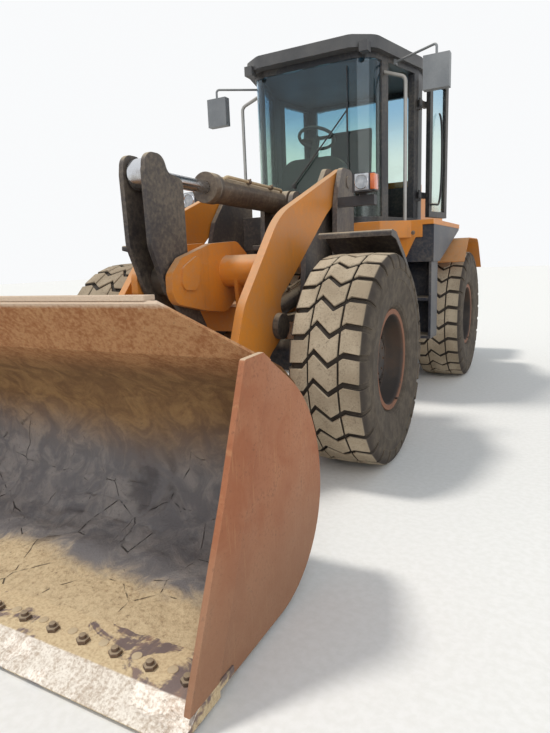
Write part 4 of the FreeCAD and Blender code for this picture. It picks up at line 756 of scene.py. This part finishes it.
# Bucket
def mud_sheet():
    """Mud caked on the inside of the shell: lumpy, thick in the heel and thin at its edges."""
    line = [Vector(spot) for spot in ((-3.60, 0.0625), (-3.40, 0.0625), (-3.22, 0.064), (-3.08, 0.075),
                                      (-2.96, 0.115),
                                      (-2.87, 0.19), (-2.81, 0.29), (-2.783, 0.40), (-2.779, 0.55), (-2.785,
                                                                                                     0.64),
                                      (-2.81, 0.75), (-2.86, 0.86), (-2.94, 0.96), (-3.05, 1.045), (-3.15,
                                                                                                    1.09),
                                      (-3.235, 1.119))]
    reach = [0.0]
    for before, after in zip(line, line[1:]):
        reach.append(reach[-1] + (after - before).length)
    shape = bmesh.new()
    bmesh.ops.create_grid(shape, x_segments=170, y_segments=110, size=1.0)
    for spot in shape.verts:
        want = (spot.co.y + 1) / 2 * reach[-1]
        index = max(i for i in range(len(line) - 1) if reach[i] <= want + 1e-9)
        share = (want - reach[index]) / (reach[index + 1] - reach[index])
        flat = line[index].lerp(line[index + 1], share)
        slope = (line[index + 1] - line[index]).normalized()
        inward = Vector((-slope.y, slope.x))
        x = spot.co.x * 1.292
        edge = min(1.0, (1 - abs(spot.co.x)) / 0.03, (1 - spot.co.y) / 0.05, (spot.co.y + 1) / 0.12)
        broad = noise.fractal(Vector((x * 1.3, want * 1.6, 3.0)), 1.0, 2.1, 4)
        fine = noise.fractal(Vector((x * 9.0, want * 11.0, 7.0)), 0.9, 2.2, 4)
        heel = math.exp(-((want - 0.85) / 0.5) ** 2)
        thick = 0.004 + max(0.0, edge) * (0.012 + heel * (0.03 + 0.05 * max(0.0,
                                                                            broad)) + 0.012 * broad + 0.010 * fine)
        place = flat + inward * max(0.0015, thick)
        spot.co = (x, place.x, place.y)
    bmesh.ops.recalc_face_normals(shape, faces=shape.faces)
    return keep("bucket_mud", shape, "bucket_paint", "bucket", MUD, 80.0)


def bucket_sides():
    """The side plates with a raised cutter along the front."""
    shape = bmesh.new()
    shape.from_mesh(nodes["bucket_sides"].data)
    bmesh.ops.remove_doubles(shape, verts=shape.verts, dist=0.00005)
    bmesh.ops.dissolve_limit(shape, angle_limit=math.radians(0.6), use_dissolve_boundaries=False,
                             verts=shape.verts,
                             edges=shape.edges)
    upper, lower = Vector((0, -3.205, 1.06)), Vector((0, -3.665, 0.02))
    along = (upper - lower).normalized()
    ahead = Vector((0, -along.z, along.y))
    bmesh.ops.bisect_plane(shape, geom=shape.verts[:] + shape.edges[:] + shape.faces[:], plane_co=upper,
                           plane_no=ahead)
    for side in (1, -1):
        outer = [f for f in shape.faces if f.normal.x * side > 0.9]
        corners = {v for f in outer for v in f.verts}
        bmesh.ops.translate(shape, vec=(-side * 0.007, 0, 0), verts=list(corners))
        cutter = [f for f in outer if (f.calc_center_median() - upper).dot(ahead) > 0]
        raised = bmesh.ops.extrude_face_region(shape, geom=cutter)["geom"]
        bmesh.ops.delete(shape, geom=cutter, context="FACES")
        bmesh.ops.translate(shape, vec=(side * 0.007, 0, 0), verts=[v for v in raised if isinstance(v,
                                                                                                    bmesh.types.BMVert)])
    piece = keep("bucket_sides_dressed", shape, "bucket_paint", "bucket", None, 38.0, ("bucket_sides",))
    soft = piece.modifiers.new("eased", "BEVEL")
    soft.width = 0.0025
    soft.segments = 2
    soft.limit_method = "ANGLE"
    soft.angle_limit = math.radians(40)
    soft.harden_normals = True


def edge_bolts():
    """Square-necked bolts through the base edge, with pale plugs in the spare holes."""
    heads, plugs = bmesh.new(), bmesh.new()
    for count in range(16):
        x = -1.22 + 2.44 * count / 15
        spot = (x, -3.685, 0.0715)
        head = rod(spot, (x, -3.685, 0.088), 0.026, 6, 0.003)
        join(head, rod((x, -3.685, 0.086), (x, -3.685, 0.102), 0.014, 12, 0.002))
        join(heads, head)
        join(plugs, rod((x + 0.08, -3.66, 0.0705), (x + 0.08, -3.66, 0.0745), 0.02, 16, 0.001))
    keep("edge_bolts", heads, "wear_steel", "bucket", BOLT)
    keep("edge_plugs", plugs, "wear_steel", "bucket", HOSE)


def dress_bucket():
    mud_sheet()
    bucket_sides()
    edge_bolts()


# Cylinders
def pressure_pipes(name, start, way, offsets, radius, run, body):
    """Steel pipes along a barrel, each held by clamps and bent in at its ends."""
    start, way = Vector(start), Vector(way).normalized()
    upright = way.cross(Vector((1, 0, 0)))
    clamps = bmesh.new()
    for count, angle in enumerate(offsets):
        out_way = math.sin(angle) * Vector((1, 0, 0)) + math.cos(angle) * upright
        low, high = start + out_way * (radius - 0.01), start + out_way * (radius + 0.022)
        points = [low + way * 0.12, high + way * 0.13, high + way * 0.2, high + way * (run - 0.16),
                  high + way * (run - 0.10), low + way * (run - 0.09)]
        tube("%s_pipe_%d" % (name, count), points, 0.011, "barrel_paint", body, HOSE)
        for share in (0.3, 0.62):
            spot = high + way * run * share
            join(clamps, rod(spot - way * 0.016, spot + way * 0.016, 0.019, 16, 0.003))
            join(clamps, bolt(spot + out_way * 0.018, out_way, 0.007, 0.006))
    keep(name + "_clamps", clamps, "barrel_paint", body, BOLT)


def gland(name, spot, way, radius, body):
    """The screwed head of a barrel, with its wiper ring."""
    shape = lathe(((-0.045, radius - 0.004), (-0.045, radius + 0.008), (-0.042, radius + 0.011),
                   (-0.006, radius + 0.011), (-0.002, radius + 0.007), (-0.002, radius * 0.62)), spot, way, 48)
    keep(name, shape, "barrel_paint", body, FINISHES["pin_steel"])


def dress_cylinders():
    pressure_pipes("tilt", TILT_BASE, TILT_WAY, (0.75, -0.75), TILT_RADIUS, TILT_BARREL, "tilt_barrel")
    gland("tilt_gland", TILT_BASE + TILT_WAY * TILT_BARREL, TILT_WAY, TILT_RADIUS, "tilt_barrel")
    for side, hand in ((1, "left"), (-1, "right")):
        start = Vector((side * LIFT_BASE[0], LIFT_BASE[1], LIFT_BASE[2]))
        pressure_pipes("lift_" + hand, start, LIFT_WAY, (0.0,), LIFT_RADIUS, LIFT_BARREL, "lift_barrels")
        gland("lift_gland_" + hand, start + LIFT_WAY * LIFT_BARREL, LIFT_WAY, LIFT_RADIUS, "lift_barrels")


# Lamps, cab and smaller fittings
def dress_lamps():
    """Work lamps with clear fronts, amber corners and a black shell."""
    eased("head_lamps", 0.006, "lamp_plastic", FINISHES["cab_plastic"])
    clear, amber, rims = bmesh.new(), bmesh.new(), bmesh.new()
    for side in (1, -1):
        ends = sorted((side * 0.766, side * 0.880))
        join(clear, block((ends[0], front(0.520), 1.975), (ends[1], front(0.534), 2.100), 0.005))
        ends = sorted((side * 0.890, side * 0.924))
        join(amber, block((ends[0], front(0.526), 1.978), (ends[1], front(0.64), 2.096), 0.005))
        join(rims, lathe(((0.0, 0.052), (0.004, 0.056), (0.008, 0.052)), (side * 0.823, front(0.512), 2.037),
                         (0, 1, 0), 40))
    keep("lamp_lenses", clear, "lamp_plastic", "front_frame")
    keep("lamp_signals", amber, "lamp_plastic", "front_frame", AMBER)
    keep("lamp_rims", rims, "lamp_plastic", "front_frame", FINISHES["rod_chrome"])


def dress_cab():
    """The door's pane and grab handle, padded seat, wiper and bolts."""
    shape = own_shape("cab_door")
    panes = [f for f in shape.faces if abs(f.normal.dot(DOOR_SQUARE)) > 0.99 and f.calc_area() > 0.3]
    for f in shape.faces:
        f.tag = f in panes
    glass = shape.copy()
    bmesh.ops.delete(glass, geom=[f for f in glass.faces if not f.tag], context="FACES")
    bmesh.ops.bridge_loops(glass, edges=glass.edges)
    bmesh.ops.recalc_face_normals(glass, faces=glass.faces)
    bmesh.ops.delete(shape, geom=panes, context="FACES_ONLY")
    bmesh.ops.bridge_loops(shape, edges=[e for e in shape.edges if e.is_boundary])
    bmesh.ops.recalc_face_normals(shape, faces=shape.faces)
    eased("cab_door", 0.005, "cab_paint", None, shape)
    keep("cab_door_pane", glass, "glass", "cab_door")
    near, far = (Vector((*DOOR_HINGE, z)) + DOOR_SQUARE * 0.066 + DOOR_ALONG * along
                 for z, along in ((1.98, 0.12), (2.90, 0.30)))
    corner = Vector((far.x, far.y, near.z))
    lift = DOOR_SQUARE * 0.038
    tube("door_grab", [near, near + lift, corner + lift, far + lift, far], 0.011, "cab_paint", "cab_door", SEAL)
    cushions = eased("operator_seat", 0.045, "seat_fabric", None, None, 4)
    arms = bmesh.new()
    join(arms, rod((-0.175, 0.172, 2.183), (-0.175, 0.196, 2.183), 0.024, 20, 0.003))
    join(arms, rod((-0.175, 0.170, 2.183), (0.395, 0.170, 2.80), 0.007, 10))
    join(arms, block((0.392, 0.176, 2.19), (0.400, 0.192, 3.18), 0.002))
    join(arms, block((0.388, 0.168, 2.60), (0.404, 0.178, 2.83), 0.003))
    keep("wiper", arms, "cab_paint", "rear_frame")
    heads = bmesh.new()
    for x in (0.844, 0.997, -0.844, -0.997):
        join(heads, bolt((x, 0.189 if abs(x) < 0.94 else 0.24, 1.668), (0, -1, 0), 0.013, 0.011))
    keep("fascia_bolts", heads, "frame_paint", "rear_frame", BOLT)


place_camera()
sun("key", (0.42, 0.16, -0.95), 1.9, 9.0, (1.0, 0.97, 0.92))
sun("fill", (-0.62, 0.72, -0.42), 1.0, 60.0, (0.95, 0.97, 1.0))
world = bpy.data.worlds.new("studio")
world.use_nodes = True
scene.world = world
tree = world.node_tree
tree.nodes.clear()
path = tree.nodes.new("ShaderNodeLightPath")
seen = tree.nodes.new("ShaderNodeMath")
seen.operation = "MAXIMUM"
tree.links.new(path.outputs["Is Camera Ray"], seen.inputs[0])
tree.links.new(path.outputs["Is Transmission Ray"], seen.inputs[1])
shown = tree.nodes.new("ShaderNodeMath")
shown.operation = "MAXIMUM"
tree.links.new(seen.outputs[0], shown.inputs[0])
tree.links.new(path.outputs["Is Glossy Ray"], shown.inputs[1])
dim = tree.nodes.new("ShaderNodeBackground")
dim.inputs["Color"].default_value = (0.86, 0.93, 1.0, 1.0)
dim.inputs["Strength"].default_value = 0.62
bright = tree.nodes.new("ShaderNodeBackground")
bright.inputs["Color"].default_value = (0.95, 0.96, 0.97, 1.0)
bright.inputs["Strength"].default_value = 1.0
pick = tree.nodes.new("ShaderNodeMixShader")
tree.links.new(shown.outputs[0], pick.inputs[0])
tree.links.new(dim.outputs[0], pick.inputs[1])
tree.links.new(bright.outputs[0], pick.inputs[2])
out = tree.nodes.new("ShaderNodeOutputWorld")
tree.links.new(pick.outputs[0], out.inputs[0])
scene.view_settings.view_transform = "Standard"

ground = bmesh.new()
bmesh.ops.create_grid(ground, x_segments=1, y_segments=1, size=60.0)
ground_mesh = bpy.data.meshes.new("floor")
ground.to_mesh(ground_mesh)
ground.free()
floor = bpy.data.objects.new("floor", ground_mesh)
floor_finish_used = floor_finish()
ground_mesh.materials.append(floor_finish_used)
scene.collection.objects.link(floor)

nodes["cab_glass"].data.materials.clear()
nodes["cab_glass"].data.materials.append(FINISHES["glass"])
for edge, slot, names in EASED:
    for name in names:
        eased(name, edge, slot)
eased("bucket_shell", 0.003, "bucket_paint", MUD)
dress_cylinders()
dress_lamps()
dress_cab()
wheels()
dress_bucket()
